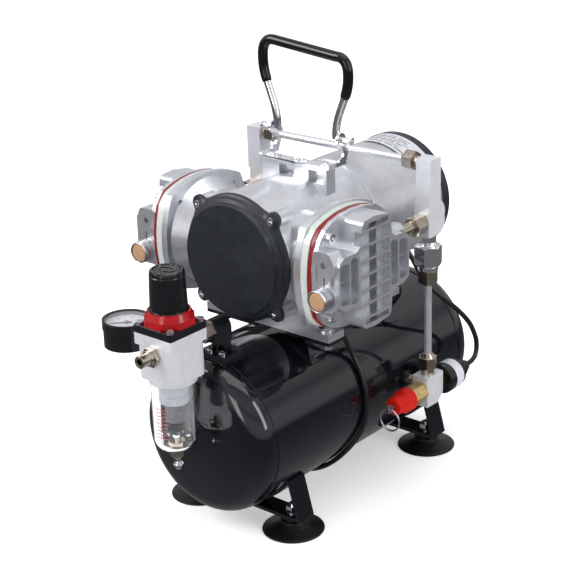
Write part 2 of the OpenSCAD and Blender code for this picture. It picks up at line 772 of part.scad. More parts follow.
module pressure_switch() {
    y0 = block_y + 22;
    color(brass_c) yhex(13, y0, y0 + 7, line_x, manifold_z);
    color(brass_c) ycyl(4.3, y0 - 6, y0, line_x, manifold_z);
    color(black_c) ycyl(12.6, y0 + 7, y0 + 15, line_x, manifold_z);
    color("#e9ebf2") ycyl(12.3, y0 + 15, y0 + 25, line_x, manifold_z);
    color(black_c) ycyl(11.8, y0 + 25, y0 + 29, line_x, manifold_z);
}

module switch_boot() color(rubber_c) {
    y0 = block_y + 51;
    ycyl(8.5, y0, y0 + 5, line_x, manifold_z);
    translate([line_x, y0 + 5, manifold_z]) rotate([-90, 0, 0]) cylinder(r1 = 8.5, r2 = 4, h = 11);
}

// ---------- regulator ----------

module bracket_screws() for (s = [-1, 1])
    translate([reg_x + s * bracket_screw.x, bracket_screw.y, 0]) children();

module outlet_bracket() color(black_c) difference() {
    union() {
        ycyl(lug_r, lug_y0, lug_y1, reg_x, port_z);
        box([reg_x - lug_r, lug_y0, port_z - 10], [reg_x + lug_r, lug_y1, port_z]);
        box([reg_x - 7, duct_y - 3.4, base_top - 1], [reg_x + 7, lug_y1, port_z]);
        box([reg_x - 12, base_y[0], tank_z + 50], [reg_x + 12, base_y[1], base_top]);
    }
    translate([0, 0, tank_z]) ycyl(tank_r, base_y[0] - 1, base_y[1] + 1);
    translate([0, 0, tank_z]) ycyl(tank_r + 1, -seam_y - 3, -seam_y + 1);
    ycyl(3.5, lug_y0 - 1, duct_y, reg_x, port_z);
    zcyl(duct_r, tank_z, port_z, reg_x, duct_y);
    bracket_screws() zcyl(1.7, base_top - 10, base_top + 1);
}

module regulator_body() color(silver_c) translate([reg_x, reg_y, 0]) difference() {
    union() {
        translate([0, 0, body_z0]) linear_extrude(band_z - body_z0) round_square(reg_w, 9);
        translate([0, 0, band_z]) linear_extrude(bonnet_z - band_z) round_square(reg_w, 1.5);
        zcyl(18.2, bowl_top, body_z0);
    }
    zcyl(12, bowl_top - 1, bonnet_z - 6);
    zcyl(5 + fit, bonnet_z - 7, bonnet_z + 1);
    for (s = [-1, 1]) ycyl(4.6, s > 0 ? 10 : -20, s > 0 ? 20 : -10, 0, port_z);
    translate([0, 0, port_z]) xcyl(4, -20, -10, 0, 0);
    for (x = [-1, 1], y = [-1, 1])
        zcyl(1.65, bonnet_z - 5, bonnet_z + 1, x * (reg_w / 2 - 3.6), y * (reg_w / 2 - 3.6));
}

module regulator_bonnet() color(black_c) translate([reg_x, reg_y, 0]) difference() {
    translate([0, 0, bonnet_z]) linear_extrude(ring_z - bonnet_z) round_square(reg_w, 1.5);
    zcyl(5 + fit, bonnet_z - 1, ring_z + 1);
    for (x = [-1, 1], y = [-1, 1])
        zcyl(1.65, bonnet_z - 1, ring_z + 1, x * (reg_w / 2 - 3.6), y * (reg_w / 2 - 3.6));
}

module regulator_ring() color(red_c) translate([reg_x, reg_y, 0]) difference() {
    union() {
        translate([0, 0, ring_z]) rotate(22.5) cylinder(r = 20, h = 5, $fn = 8);
        translate([0, 0, ring_z + 5]) cylinder(r1 = 18.4, r2 = 16.2, h = 5.5);
    }
    zcyl(15, ring_z + 1.5, ring_z + 12);
    zcyl(6, ring_z - 1, ring_z + 2);
    bonnet_relief();
}

// Room for the bonnet's four screw heads
module bonnet_relief() for (x = [-1, 1], y = [-1, 1])
    zcyl(3.6, ring_z - 1, ring_z + 3, x * (reg_w / 2 - 3.6), y * (reg_w / 2 - 3.6));

module regulator_knob() color(black_c) translate([reg_x, reg_y, 0]) difference() {
    union() {
        translate([0, 0, knob_z0]) cylinder(r = 14.4, h = 5);
        translate([0, 0, knob_z0 + 5]) cylinder(r1 = 14.2, r2 = 13.4, h = knob_top - knob_z0 - 7);
        translate([0, 0, knob_top - 2]) cylinder(r1 = 13.4, r2 = 11.8, h = 2);
    }
    zcyl(5 + fit, knob_z0 - 1, knob_z0 + 21);
    difference() {
        zcyl(9, knob_top - 0.8, knob_top + 1);
        zcyl(6, knob_top - 1, knob_top + 2);
    }
}

module adjusting_screw() color(brass_c) zcyl(5, bonnet_z - 4, knob_z0 + 16, reg_x, reg_y);

module regulator_nipples() color(nickel_c) {
    face = reg_y - reg_w / 2;
    difference() {
        union() {
            yhex(14, face - 4, face, reg_x, port_z);
            ycyl(5.9, face - 6.2, face - 4, reg_x, port_z);
            ycyl(outlet_r, face - 14.2, face - 6.2, reg_x, port_z);
            ycyl(4.5, face, face + 6, reg_x, port_z);
        }
        ycyl(2.6, face - 15, face + 7, reg_x, port_z);
    }
    difference() {
        union() {
            ycyl(5.6, reg_y + reg_w / 2, lug_y0, reg_x, port_z);
            yhex(14, lug_y0 - 9, lug_y0, reg_x, port_z);
        }
        ycyl(3, reg_y + reg_w / 2 - 1, lug_y0 + 1, reg_x, port_z);
    }
}

module regulator_bowl() color([0.9, 0.95, 1, 0.4]) translate([reg_x, reg_y, 0]) difference() {
    rotate_extrude() polygon(concat([[0, bowl_z0]],
        [for (a = [-90:15:0]) [bowl_r - 8 + 8 * cos(a), bowl_z0 + 8 + 8 * sin(a)]],
        [[bowl_r + 0.5, bowl_top], [0, bowl_top]]));
    rotate_extrude() polygon(concat([[0, bowl_z0 + 2.4]],
        [for (a = [-90:15:0]) [bowl_r - 8 + 5.6 * cos(a), bowl_z0 + 8 + 5.6 * sin(a)]],
        [[bowl_r - 1.9, bowl_top + 1], [0, bowl_top + 1]]));
    zcyl(4.1, bowl_z0 - 1, bowl_z0 + 3);
}

module bowl_filter() translate([reg_x, reg_y, 0]) {
    color("#e8e8ee") zcyl(11.5, 129, bowl_top + 4);
    color("#d8d4c8") zcyl(7, 113, 129);
}

module drain_nut() color(nickel_c) translate([reg_x, reg_y, 0]) difference() {
    union() {
        zcyl(4, bowl_z0 - 1, bowl_z0 + 4);
        zcyl(6.4, bowl_z0 + 2.4, bowl_z0 + 6);
        translate([0, 0, bowl_z0 - 6.5]) hex(11, 6.5);
        translate([0, 0, bowl_z0 - 9.5]) cylinder(r1 = 3.4, r2 = 5, h = 3);
    }
    zcyl(1.5 + fit, bowl_z0 - 10, bowl_z0 + 7);
}

module drain_pin() color(chrome_c) translate([reg_x, reg_y, 0]) {
    zcyl(1.5, bowl_z0 - 13, bowl_z0 + 9);
    zcyl(2.4, bowl_z0 - 18.5, bowl_z0 - 13);
    zcyl(4, bowl_z0 - 15.4, bowl_z0 - 14);
    zcyl(3, bowl_z0 + 9, bowl_z0 + 11);
}

module gauge_case() color(black_c) difference() {
    union() {
        zcyl(gauge_r - 0.6, gauge_z0, gauge_z0 + 14, gauge_x, reg_y);
        zcyl(gauge_r, gauge_z0 + 14, gauge_z1, gauge_x, reg_y);
        xcyl(5, gauge_x + gauge_r - 2, reg_x - reg_w / 2, reg_y, port_z);
        xcyl(3.9, reg_x - reg_w / 2, reg_x - reg_w / 2 + 6, reg_y, port_z);
    }
    zcyl(gauge_r - 1.9, gauge_z1 - 4.4, gauge_z1 + 1, gauge_x, reg_y);
    zcyl(0.9 + fit, gauge_z1 - 10, gauge_z1, gauge_x, reg_y);
}

module gauge_lens() color([0.9, 0.95, 1, 0.3])
    zcyl(gauge_r - 1.95, gauge_z1 - 2, gauge_z1 - 0.7, gauge_x, reg_y);

module gauge_needle() color("#20242a") translate([gauge_x, reg_y, 0]) {
    zcyl(0.9, gauge_z1 - 9, gauge_z1 - 2.6);
    zcyl(2.2, gauge_z1 - 3.9, gauge_z1 - 3);
    rotate(225) translate([0, 0, gauge_z1 - 3.9]) linear_extrude(0.6)
        polygon([[-4, -0.9], [13, -0.3], [13, 0.3], [-4, 0.9]]);
}

// ---------- carrying handle ----------

module handle_base() color(chrome_c) {
    difference() {
        box([-ear_x, -platform_y, platform_z], [ear_x, platform_back - 1, platform_z + 2]);
        zcyl(2.2, platform_z - 1, platform_z + 3, 2, (platform_back - 1 - platform_y) / 2);
    }
    for (x = [-ear_x - ear_t, ear_x]) difference() {
        translate([x, 0, 0]) rotate([90, 0, 90]) linear_extrude(ear_t) {
            translate([-platform_y, platform_z]) square([platform_y + 3, 3.6]);
            strip([[-5, platform_z + 2.5], [1.5, platform_z + 4.6], [3.4, platform_z + 9],
                [0.8, platform_z + 15], [hinge_y, hinge_z]], 5);
            translate([hinge_y, hinge_z]) circle(r = 5.2);
        }
        xcyl(2 + fit, x - 1, x + ear_t + 1, hinge_y, hinge_z);
    }
}

function handle_side(s) = [for (p = handle_path)
    [s * p.x, hinge_y, p.y - s * skew * (p.y - hinge_z) / (grip_z - hinge_z)]];
function reversed(p) = [for (i = [len(p) - 1:-1:0]) p[i]];
function from_index(p, n) = [for (i = [n:len(p) - 1]) p[i]];
handle_all = concat(handle_side(-1), reversed(handle_side(1)));
grip_path = concat(from_index(handle_side(-1), grip_from), reversed(from_index(handle_side(1), grip_from)));

module handle_bail() color(chrome_c) {
    tube_along(handle_all, rod_r, rod_sides);
    mirror_x() {
        xcyl(2, handle_path[0].x, ear_x + ear_t + 1, hinge_y, hinge_z);
        xcyl(3.4, ear_x + ear_t + gap, ear_x + ear_t + 2, hinge_y, hinge_z);
    }
}

module handle_grip() color(rubber_c) sleeve_along(grip_path, grip_r, rod_r + 2 * fit, rod_sides);

// ---------- mains switch and leads ----------

module switch_box() color(black_c) difference() {
    union() {
        box([-88, -20, 50], [-55, 20, 84]);
        ycyl(6, 20, 32, -76, 62);
    }
    translate([0, 0, tank_z]) ycyl(tank_r, -60, 60);
    box([-86, -18, 52], [-66, 18, 82]);
    box([-89, -11, 61], [-85, 11, 73.5]);
    ycyl(1.2 + fit, -14, 14, rocker_x, rocker_z);
    ycyl(gland_r, 17, 33, -76, 62);
}

module rocker() color("#a01316") translate([rocker_x, 0, rocker_z]) {
    translate([0, 10.6, 0]) rotate([90, rocker_tilt, 0]) linear_extrude(21.2)
        polygon([[-4.6, -5.2], [-3.2, 0], [-4.6, 5.2], [1.5, 5.2], [1.5, -5.2]]);
    ycyl(1.2, -13, 13);
}

module switch_lead() color(rubber_c) tube_along(switch_route, lead_r);

module motor_lead() color(rubber_c) tube_along(motor_route, lead_r);

tank_barrel();
tank_head_front();
tank_head_rear();
leg_brackets();
suction_cups();
hex_fasteners();
drain_screw();
crankcase();
front_cover();
pan_screws();
valve_plates();
head_gaskets();
head_left();
head_right();
head_bolts();
intake_filters();
piston_left();
piston_right();
crankshaft();
rotor();
fan();
shaft_bearings();
motor_housing();
stator();
rear_cover();
air_block_left();
air_block_right();
cross_tube();
line_fittings();
check_valve();
down_tube();
manifold_block();
relief_valve_body();
relief_valve_cap();
relief_stem();
pull_ring();
pressure_switch();
switch_boot();
outlet_bracket();
regulator_body();
regulator_bonnet();
regulator_ring();
regulator_knob();
adjusting_screw();
regulator_nipples();
regulator_bowl();
bowl_filter();
drain_nut();
drain_pin();
gauge_case();
gauge_lens();
gauge_needle();
handle_base();
handle_bail();
handle_grip();
switch_box();
rocker();
switch_lead();
motor_lead();
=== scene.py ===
import json
from math import cos, pi, radians, sin, sqrt, tan

import bmesh
import bpy
from mathutils import Matrix, Vector


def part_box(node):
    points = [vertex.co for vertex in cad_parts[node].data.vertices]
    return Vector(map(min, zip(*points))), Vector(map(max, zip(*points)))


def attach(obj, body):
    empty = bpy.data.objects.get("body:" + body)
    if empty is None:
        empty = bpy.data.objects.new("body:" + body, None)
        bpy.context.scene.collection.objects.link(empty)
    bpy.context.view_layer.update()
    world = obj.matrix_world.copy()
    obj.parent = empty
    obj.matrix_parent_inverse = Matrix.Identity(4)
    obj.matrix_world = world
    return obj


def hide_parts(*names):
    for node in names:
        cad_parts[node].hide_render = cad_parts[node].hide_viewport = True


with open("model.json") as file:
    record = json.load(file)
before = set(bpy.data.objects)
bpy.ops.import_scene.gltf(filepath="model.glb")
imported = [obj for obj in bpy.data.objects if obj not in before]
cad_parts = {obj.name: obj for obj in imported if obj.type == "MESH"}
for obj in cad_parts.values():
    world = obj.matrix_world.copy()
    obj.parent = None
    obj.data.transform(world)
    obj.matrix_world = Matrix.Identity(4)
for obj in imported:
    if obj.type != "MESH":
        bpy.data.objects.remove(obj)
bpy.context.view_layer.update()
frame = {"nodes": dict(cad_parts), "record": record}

MM = 0.001
slot_of = {s["node"]: s["material_slot"] for s in frame["record"]["subparts"]}
body_of = {n: b for b, ns in frame["record"]["behaviour"]["bodies"].items() for n in ns}


def box(node):
    """Lowest and highest corner of a CAD node, in millimetres."""
    low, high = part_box(node)
    return low / MM, high / MM


def centre(node):
    low, high = box(node)
    return (low + high) / 2


def linked(name, data):
    """A new object of this data, in the scene."""
    made = bpy.data.objects.new(name, data)
    bpy.context.scene.collection.objects.link(made)
    return made


# ---------------------------------------------------------------- camera

AZIMUTH, ELEVATION, ROLL = radians(39.82), radians(20.48), radians(-1.52)
TARGET = Vector((0, 0, 0.18))
DISTANCE = 1.2535


def make_camera():
    data = bpy.data.cameras.new("camera")
    data.sensor_width = 36
    data.lens = 95.8
    data.shift_x, data.shift_y = -0.0412, -0.0300
    data.clip_end = 50
    camera = linked("camera", data)
    back = Vector((sin(AZIMUTH) * cos(ELEVATION), -cos(AZIMUTH) * cos(ELEVATION), sin(ELEVATION)))
    level = Vector((cos(AZIMUTH), sin(AZIMUTH), 0))
    above = back.cross(level)
    right = cos(ROLL) * level + sin(ROLL) * above
    up = cos(ROLL) * above - sin(ROLL) * level
    turn = Matrix((right, up, back)).transposed().to_4x4()
    camera.matrix_world = Matrix.Translation(TARGET + back * DISTANCE) @ turn
    bpy.context.scene.camera = camera


make_camera()

# ---------------------------------------------------------------- materials


def fill(ramp, stops):
    """Gives a colour ramp its stops, each (value, colour)."""
    ends = ramp.elements
    for end, (at, colour) in zip(ends, (stops[0], stops[-1])):
        end.position, end.color = at, (*colour, 1)
    for at, colour in stops[1:-1]:
        ends.new(at).color = (*colour, 1)


class Nodes:
    """Short calls for building one material's node tree."""

    def __init__(self, name):
        self.material = bpy.data.materials.new(name)
        self.material.use_nodes = True
        self.tree = self.material.node_tree
        self.shader = self.tree.nodes["Principled BSDF"]
        self.place = self.add("ShaderNodeTexCoord").outputs["Object"]

    def add(self, kind, **settings):
        node = self.tree.nodes.new(kind)
        for key, value in settings.items():
            setattr(node, key, value)
        return node

    def link(self, out, into):
        self.tree.links.new(out, into)

    def set(self, **values):
        for key, value in values.items():
            self.shader.inputs[key.replace("_", " ")].default_value = value

    def stretched(self, scale):
        mapping = self.add("ShaderNodeMapping")
        mapping.inputs["Scale"].default_value = scale
        self.link(self.place, mapping.inputs["Vector"])
        return mapping.outputs["Vector"]

    def noise(self, size, detail=3.0, rough=0.55, stretch=None):
        """Noise with features about size millimetres across."""
        node = self.add("ShaderNodeTexNoise")
        node.inputs["Scale"].default_value = 1 / (size * MM)
        node.inputs["Detail"].default_value = detail
        node.inputs["Roughness"].default_value = rough
        self.link(self.stretched(stretch) if stretch else self.place, node.inputs["Vector"])
        return node.outputs["Fac"]

    def cells(self, size):
        """The distance to the nearest of a scatter of points, about size millimetres apart."""
        node = self.add("ShaderNodeTexVoronoi", feature="F1")
        node.inputs["Scale"].default_value = 1 / (size * MM)
        self.link(self.place, node.inputs["Vector"])
        return node.outputs["Distance"]

    def ramp(self, value, stops):
        """Maps a value to colours; each stop is (value, colour)."""
        node = self.add("ShaderNodeValToRGB")
        fill(node.color_ramp, stops)
        self.link(value, node.inputs["Fac"])
        return node.outputs["Color"]

    def spread(self, value, low, high):
        """Maps the middle of a noise, 0.3 to 0.7, to low..high."""
        node = self.add("ShaderNodeMapRange")
        node.inputs["From Min"].default_value = 0.3
        node.inputs["From Max"].default_value = 0.7
        node.inputs["To Min"].default_value = low
        node.inputs["To Max"].default_value = high
        self.link(value, node.inputs["Value"])
        return node.outputs["Result"]

    def colour(self, value, dark, light):
        self.link(self.ramp(value, [(0.3, dark), (0.7, light)]), self.shader.inputs["Base Color"])

    def roughness(self, value, low, high):
        self.link(self.spread(value, low, high), self.shader.inputs["Roughness"])

    def bump(self, *layers):
        """Each layer is (value, height in millimetres)."""
        normal = None
        for value, height in layers:
            node = self.add("ShaderNodeBump")
            node.inputs["Distance"].default_value = height * MM
            node.inputs["Strength"].default_value = 1
            self.link(value, node.inputs["Height"])
            if normal:
                self.link(normal, node.inputs["Normal"])
            normal = node.outputs["Normal"]
        self.link(normal, self.shader.inputs["Normal"])


def enamel():
    n = Nodes("black_enamel")
    n.colour(n.noise(30), (0.0030, 0.0036, 0.0054), (0.0050, 0.0058, 0.0082))
    n.roughness(n.noise(14), 0.05, 0.10)
    n.set(Coat_Weight=0.25, Coat_Roughness=0.04, Specular_IOR_Level=0.45)
    n.bump((n.noise(8, 2), 0.004), (n.noise(40, 1), 0.04))
    return n.material


def satin_black():
    n = Nodes("satin_black")
    n.colour(n.noise(8), (0.009, 0.011, 0.016), (0.014, 0.017, 0.024))
    n.roughness(n.noise(3), 0.34, 0.44)
    n.set(Specular_IOR_Level=0.4)
    n.bump((n.noise(1.0, 3, 0.6), 0.008))
    return n.material


def cast_aluminium():
    n = Nodes("cast_aluminium")
    n.colour(n.noise(7, 5), (0.62, 0.63, 0.66), (0.71, 0.72, 0.75))
    n.roughness(n.noise(4, 3), 0.29, 0.38)
    n.set(Metallic=0.88)
    n.bump((n.noise(1.5, 3, 0.6), 0.006), (n.noise(9, 2), 0.08))
    return n.material


def machined_aluminium():
    n = Nodes("machined_aluminium")
    n.colour(n.noise(10, 4), (0.66, 0.67, 0.70), (0.75, 0.76, 0.79))
    n.roughness(n.noise(3, 3, 0.6, (0.25, 1, 1)), 0.29, 0.36)
    n.set(Metallic=0.8)
    n.bump((n.noise(6, 2), 0.004))
    return n.material


def satin_silver():
    """Blasted and anodised aluminium, paler than the castings."""
    n = Nodes("satin_silver")
    n.colour(n.noise(8, 4), (0.66, 0.67, 0.70), (0.73, 0.74, 0.77))
    n.roughness(n.noise(3, 3), 0.31, 0.38)
    n.set(Metallic=0.45)
    n.bump((n.noise(1.8, 3, 0.6), 0.004))
    return n.material


def off_white():
    n = Nodes("off_white_plate")
    n.colour(n.noise(5, 4), (0.50, 0.54, 0.50), (0.58, 0.62, 0.58))
    n.roughness(n.noise(2, 4), 0.34, 0.45)
    n.set(Metallic=0.25)
    n.bump((n.noise(1.5, 2, 0.6), 0.008))
    return n.material


def red_gasket():
    n = Nodes("red_gasket")
    n.colour(n.noise(3, 4), (0.15, 0.001, 0.002), (0.22, 0.002, 0.003))
    n.roughness(n.noise(1.5, 3), 0.29, 0.36)
    n.bump((n.noise(2, 2), 0.01))
    return n.material


def nickel():
    n = Nodes("nickel_brass")
    n.colour(n.noise(4, 4), (0.42, 0.36, 0.29), (0.56, 0.49, 0.41))
    n.roughness(n.noise(1.5, 4), 0.14, 0.26)
    n.set(Metallic=1.0)
    n.bump((n.noise(1.5, 2), 0.004))
    return n.material


def chrome():
    n = Nodes("bright_chrome")
    n.colour(n.noise(12, 3), (0.80, 0.81, 0.84), (0.88, 0.89, 0.92))
    n.roughness(n.noise(5, 3), 0.05, 0.10)
    n.set(Metallic=1.0)
    n.bump((n.noise(8, 1), 0.012))
    return n.material


def brass():
    n = Nodes("bare_brass")
    n.colour(n.noise(3, 4), (0.60, 0.42, 0.16), (0.78, 0.58, 0.27))
    n.roughness(n.noise(1.0, 4), 0.18, 0.26)
    n.set(Metallic=1.0)
    n.bump((n.noise(1.5, 2), 0.004))
    return n.material


def rubber():
    n = Nodes("black_rubber")
    n.colour(n.noise(6, 4), (0.0025, 0.0025, 0.003), (0.0045, 0.0045, 0.005))
    n.roughness(n.noise(2.5, 4), 0.36, 0.50)
    n.set(Specular_IOR_Level=0.3)
    n.bump((n.noise(1.8, 3, 0.6), 0.015))
    return n.material


def grip_vinyl():
    n = Nodes("grip_rubber")
    n.colour(n.noise(9, 3), (0.0025, 0.003, 0.004), (0.005, 0.0055, 0.007))
    n.roughness(n.noise(9, 3), 0.10, 0.16)
    n.set(Specular_IOR_Level=0.35)
    n.bump((n.noise(7, 2), 0.04))
    return n.material


def black_plastic():
    n = Nodes("black_plastic")
    n.colour(n.noise(5, 4), (0.0035, 0.004, 0.005), (0.006, 0.007, 0.008))
    n.roughness(n.noise(9, 2), 0.10, 0.15)
    n.bump((n.noise(5, 2), 0.006))
    return n.material


def red_plastic():
    n = Nodes("red_plastic")
    n.colour(n.noise(5, 3), (0.25, 0.001, 0.003), (0.33, 0.002, 0.005))
    n.roughness(n.noise(6, 3), 0.16, 0.24)
    n.set(Specular_IOR_Level=0.4)
    n.bump((n.noise(5, 2), 0.006))
    return n.material


def orange_plastic():
    n = Nodes("orange_red_plastic")
    n.colour(n.noise(5, 3), (0.42, 0.004, 0.001), (0.52, 0.009, 0.002))
    n.roughness(n.noise(2, 3), 0.3, 0.40)
    n.set(Specular_IOR_Level=0.2)
    n.bump((n.noise(2.5, 2), 0.008))
    return n.material


def white_plastic():
    n = Nodes("white_plastic")
    n.colour(n.noise(4, 3), (0.50, 0.51, 0.55), (0.60, 0.61, 0.65))
    n.roughness(n.noise(2, 3), 0.35, 0.45)
    n.bump((n.noise(2, 2), 0.004))
    return n.material


def clear_plastic():
    n = Nodes("clear_plastic")
    n.colour(n.noise(6, 3), (0.95, 0.965, 0.98), (0.985, 0.99, 1.0))
    n.roughness(n.noise(4, 3), 0.0, 0.03)
    n.set(Transmission_Weight=1.0, IOR=1.5)
    n.bump((n.noise(9, 2), 0.03))
    return n.material


def lens_plastic():
    n = Nodes("lens_plastic")
    n.colour(n.noise(6, 3), (0.93, 0.95, 0.98), (0.98, 0.99, 1.0))
    n.roughness(n.noise(4, 3), 0.02, 0.06)
    n.set(Alpha=0.12)
    n.bump((n.noise(9, 2), 0.01))
    return n.material


def smoky_plastic():
    n = Nodes("smoky_plastic")
    n.colour(n.noise(3, 3), (0.20, 0.21, 0.23), (0.30, 0.31, 0.33))
    n.roughness(n.noise(2, 3), 0.29, 0.38)
    n.set(Alpha=0.6)
    n.bump((n.noise(1.5, 2), 0.01))
    return n.material


def sintered():
    n = Nodes("sintered_bronze")
    grains = n.cells(0.55)
    n.link(n.ramp(grains, [(0.0, (0.70, 0.46, 0.27)), (0.5, (0.56, 0.34, 0.18)), (0.8, (0.28, 0.15, 0.07))]),
           n.shader.inputs["Base Color"])
    n.roughness(n.noise(0.6, 4), 0.45, 0.65)
    n.set(Metallic=0.45)
    n.bump((grains, 0.12))
    return n.material


def steel():
    n = Nodes("steel")
    n.colour(n.noise(6, 4), (0.42, 0.43, 0.45), (0.55, 0.56, 0.58))
    n.roughness(n.noise(1, 4), 0.29, 0.38)
    n.set(Metallic=1.0)
    n.bump((n.noise(1.2, 2), 0.004))
    return n.material


def winding():
    n = Nodes("copper_winding")
    n.colour(n.noise(1.2, 4), (0.25, 0.09, 0.03), (0.55, 0.26, 0.10))
    n.roughness(n.noise(1, 3), 0.3, 0.5)
    n.set(Metallic=0.8)
    n.bump((n.noise(0.5, 3), 0.05))
    return n.material


def cable_sheath():
    n = Nodes("cable_sheath")
    n.colour(n.noise(4, 3), (0.003, 0.0033, 0.0038), (0.006, 0.0065, 0.007))
    n.roughness(n.noise(2, 3), 0.29, 0.36)
    n.bump((n.noise(1.2, 3), 0.02))
    return n.material


def label_film():
    n = Nodes("label_film")
    n.colour(n.noise(12, 3), (0.56, 0.57, 0.61), (0.64, 0.65, 0.69))
    n.roughness(n.noise(5, 3), 0.29, 0.36)
    n.set(Metallic=0.15)
    n.bump((n.noise(2, 2), 0.01))
    return n.material


def print_ink(name, dark, light):
    n = Nodes(name)
    n.colour(n.noise(1.5, 3), dark, light)
    n.roughness(n.noise(1, 3), 0.45, 0.6)
    n.bump((n.noise(0.4, 3), 0.004))
    return n.material


MATERIALS = {
    "black_enamel": enamel(),
    "satin_black": satin_black(),
    "cast_aluminium": cast_aluminium(),
    "machined_aluminium": machined_aluminium(),
    "off_white_plate": off_white(),
    "red_gasket": red_gasket(),
    "nickel_brass": nickel(),
    "bright_chrome": chrome(),
    "bare_brass": brass(),
    "black_rubber": rubber(),
    "grip_rubber": grip_vinyl(),
    "black_plastic": black_plastic(),
    "red_plastic": red_plastic(),
    "white_plastic": white_plastic(),
    "clear_plastic": clear_plastic(),
    "sintered_bronze": sintered(),
    "steel": steel(),
    "copper_winding": winding(),
    "cable_sheath": cable_sheath(),
}
orange_red = orange_plastic()
lens_clear = lens_plastic()
pale_silver = satin_silver()
smoke_plastic = smoky_plastic()
label_white = label_film()
grey_ink = print_ink("grey_ink", (0.07, 0.07, 0.08), (0.12, 0.12, 0.13))
black_ink = print_ink("black_ink", (0.02, 0.02, 0.022), (0.04, 0.04, 0.043))
red_ink = print_ink("red_ink", (0.42, 0.03, 0.03), (0.55, 0.05, 0.05))

# ---------------------------------------------------------------- mesh helpers


def applied(piece):
    """Puts a piece's modifiers into its mesh."""
    graph = bpy.context.evaluated_depsgraph_get()
    mesh = bpy.data.meshes.new_from_object(piece.evaluated_get(graph))
    piece.modifiers.clear()
    piece.data = mesh
    return piece


BEVEL_SEGMENTS, BEVEL_ANGLE = 2, 30


def finished(piece, bevel=0.0, smooth=38):
    """Rounds a piece's edges by bevel millimetres and shades it smooth up to an angle in degrees."""
    if bevel:
        rounding = piece.modifiers.new("bevel", "BEVEL")
        rounding.width = bevel * MM
        rounding.segments = BEVEL_SEGMENTS
        rounding.limit_method = "ANGLE"
        rounding.angle_limit = radians(BEVEL_ANGLE)
        rounding.use_clamp_overlap = True
        applied(piece)
    piece.data.shade_smooth()
    piece.data.set_sharp_from_angle(angle=radians(smooth))
    weighted = piece.modifiers.new("normals", "WEIGHTED_NORMAL")
    weighted.keep_sharp = True
    return applied(piece)


def object_from(bm, name):
    """Takes a bmesh in millimetres and makes an object of it in metres."""
    bmesh.ops.scale(bm, vec=(MM, MM, MM), verts=bm.verts)
    mesh = bpy.data.meshes.new(name)
    bm.to_mesh(mesh)
    bm.free()
    return linked(name, mesh)


def made_of(bm, name, bevel=0.0, smooth=38):
    """A finished piece of a bmesh, with its faces turned outwards."""
    bmesh.ops.recalc_face_normals(bm, faces=bm.faces)
    return finished(object_from(bm, name), bevel, smooth)


def placed(piece, node, material=None):
    """Rides a piece on a CAD node's body, with the look of the node's slot unless one is given."""
    slot = slot_of[node]
    piece.data.materials.append(material or MATERIALS[slot])
    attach(piece, body_of[node])


def stands_for(piece, node, material=None):
    """Places a piece and lets it take the CAD node's place."""
    placed(piece, node, material)
    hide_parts(node)


MERGE_WITHIN, FLAT_WITHIN = 2e-6, 0.4     # metres, degrees


def clean(bm):
    """Merges points that meet, and joins flat faces into whole ones."""
    bmesh.ops.remove_doubles(bm, verts=bm.verts, dist=MERGE_WITHIN)
    bmesh.ops.dissolve_limit(bm, angle_limit=radians(FLAT_WITHIN), verts=bm.verts, edges=bm.edges)


def copy_of(node):
    """A new piece with a CAD node's mesh, cleaned."""
    mesh = frame["nodes"][node].data.copy()
    mesh.materials.clear()
    bm = bmesh.new()
    bm.from_mesh(mesh)
    clean(bm)
    mesh = bpy.data.meshes.new(node + "_piece")
    bm.to_mesh(mesh)
    bm.free()
    return linked(node + "_piece", mesh)


def ring_mesh(bm, rings):
    """Skins rings of points with quads, and leaves both ends open."""
    made = [[bm.verts.new(p) for p in ring] for ring in rings]
    count = len(made[0])
    for a, b in zip(made, made[1:]):
        for k in range(count):
            n = (k + 1) % count
            bm.faces.new((a[k], a[n], b[n], b[k]))
    return made


def rounded(points, corner, steps):
    """Rounds the corners of an open outline to a radius, or less where its sides are short."""
    out = []
    for i, point in enumerate(points):
        here = Vector(point)
        if i in (0, len(points) - 1) or corner <= 0:
            out.append(here)
            continue
        before, after = Vector(points[i - 1]) - here, Vector(points[i + 1]) - here
        angle = before.angle(after, 0)
        if angle < 0.02 or angle > pi - 0.02:
            out.append(here)
            continue
        reach = min(corner / tan(angle / 2), before.length * 0.49, after.length * 0.49)
        radius = reach * tan(angle / 2)
        start, end = here + before.normalized() * reach, here + after.normalized() * reach
        hub = here + (before.normalized() + after.normalized()).normalized() * (radius / sin(angle / 2))
        a, b = start - hub, end - hub
        for k in range(steps + 1):
            t = k / steps
            arc = (a * (1 - t) + b * t).normalized() * radius
            out.append(hub + arc)
    return out


TURN_TO = {
    "Z": Matrix.Identity(3),
    "Y": Matrix(((1, 0, 0), (0, 0, 1), (0, -1, 0))),
    "X": Matrix(((0, 0, 1), (0, 1, 0), (-1, 0, 0))),
}


def turned(bm, outline, origin, axis, sides, corner=0.0, steps=4):
    """Turns an outline of (radius, height) round an axis through origin. Ends on the axis close it."""
    outline = rounded(outline, corner, steps)
    before = set(bm.verts)
    rings = []
    for r, h in outline:
        angles = [2 * pi * k / sides for k in range(sides)]
        rings.append([TURN_TO[axis] @ Vector((max(r, 0) * cos(a), max(r, 0) * sin(a), h)) + Vector(origin)
                      for a in angles])
    ring_mesh(bm, rings)
    new = [v for v in bm.verts if v not in before]
    bmesh.ops.remove_doubles(bm, verts=new, dist=1e-5)


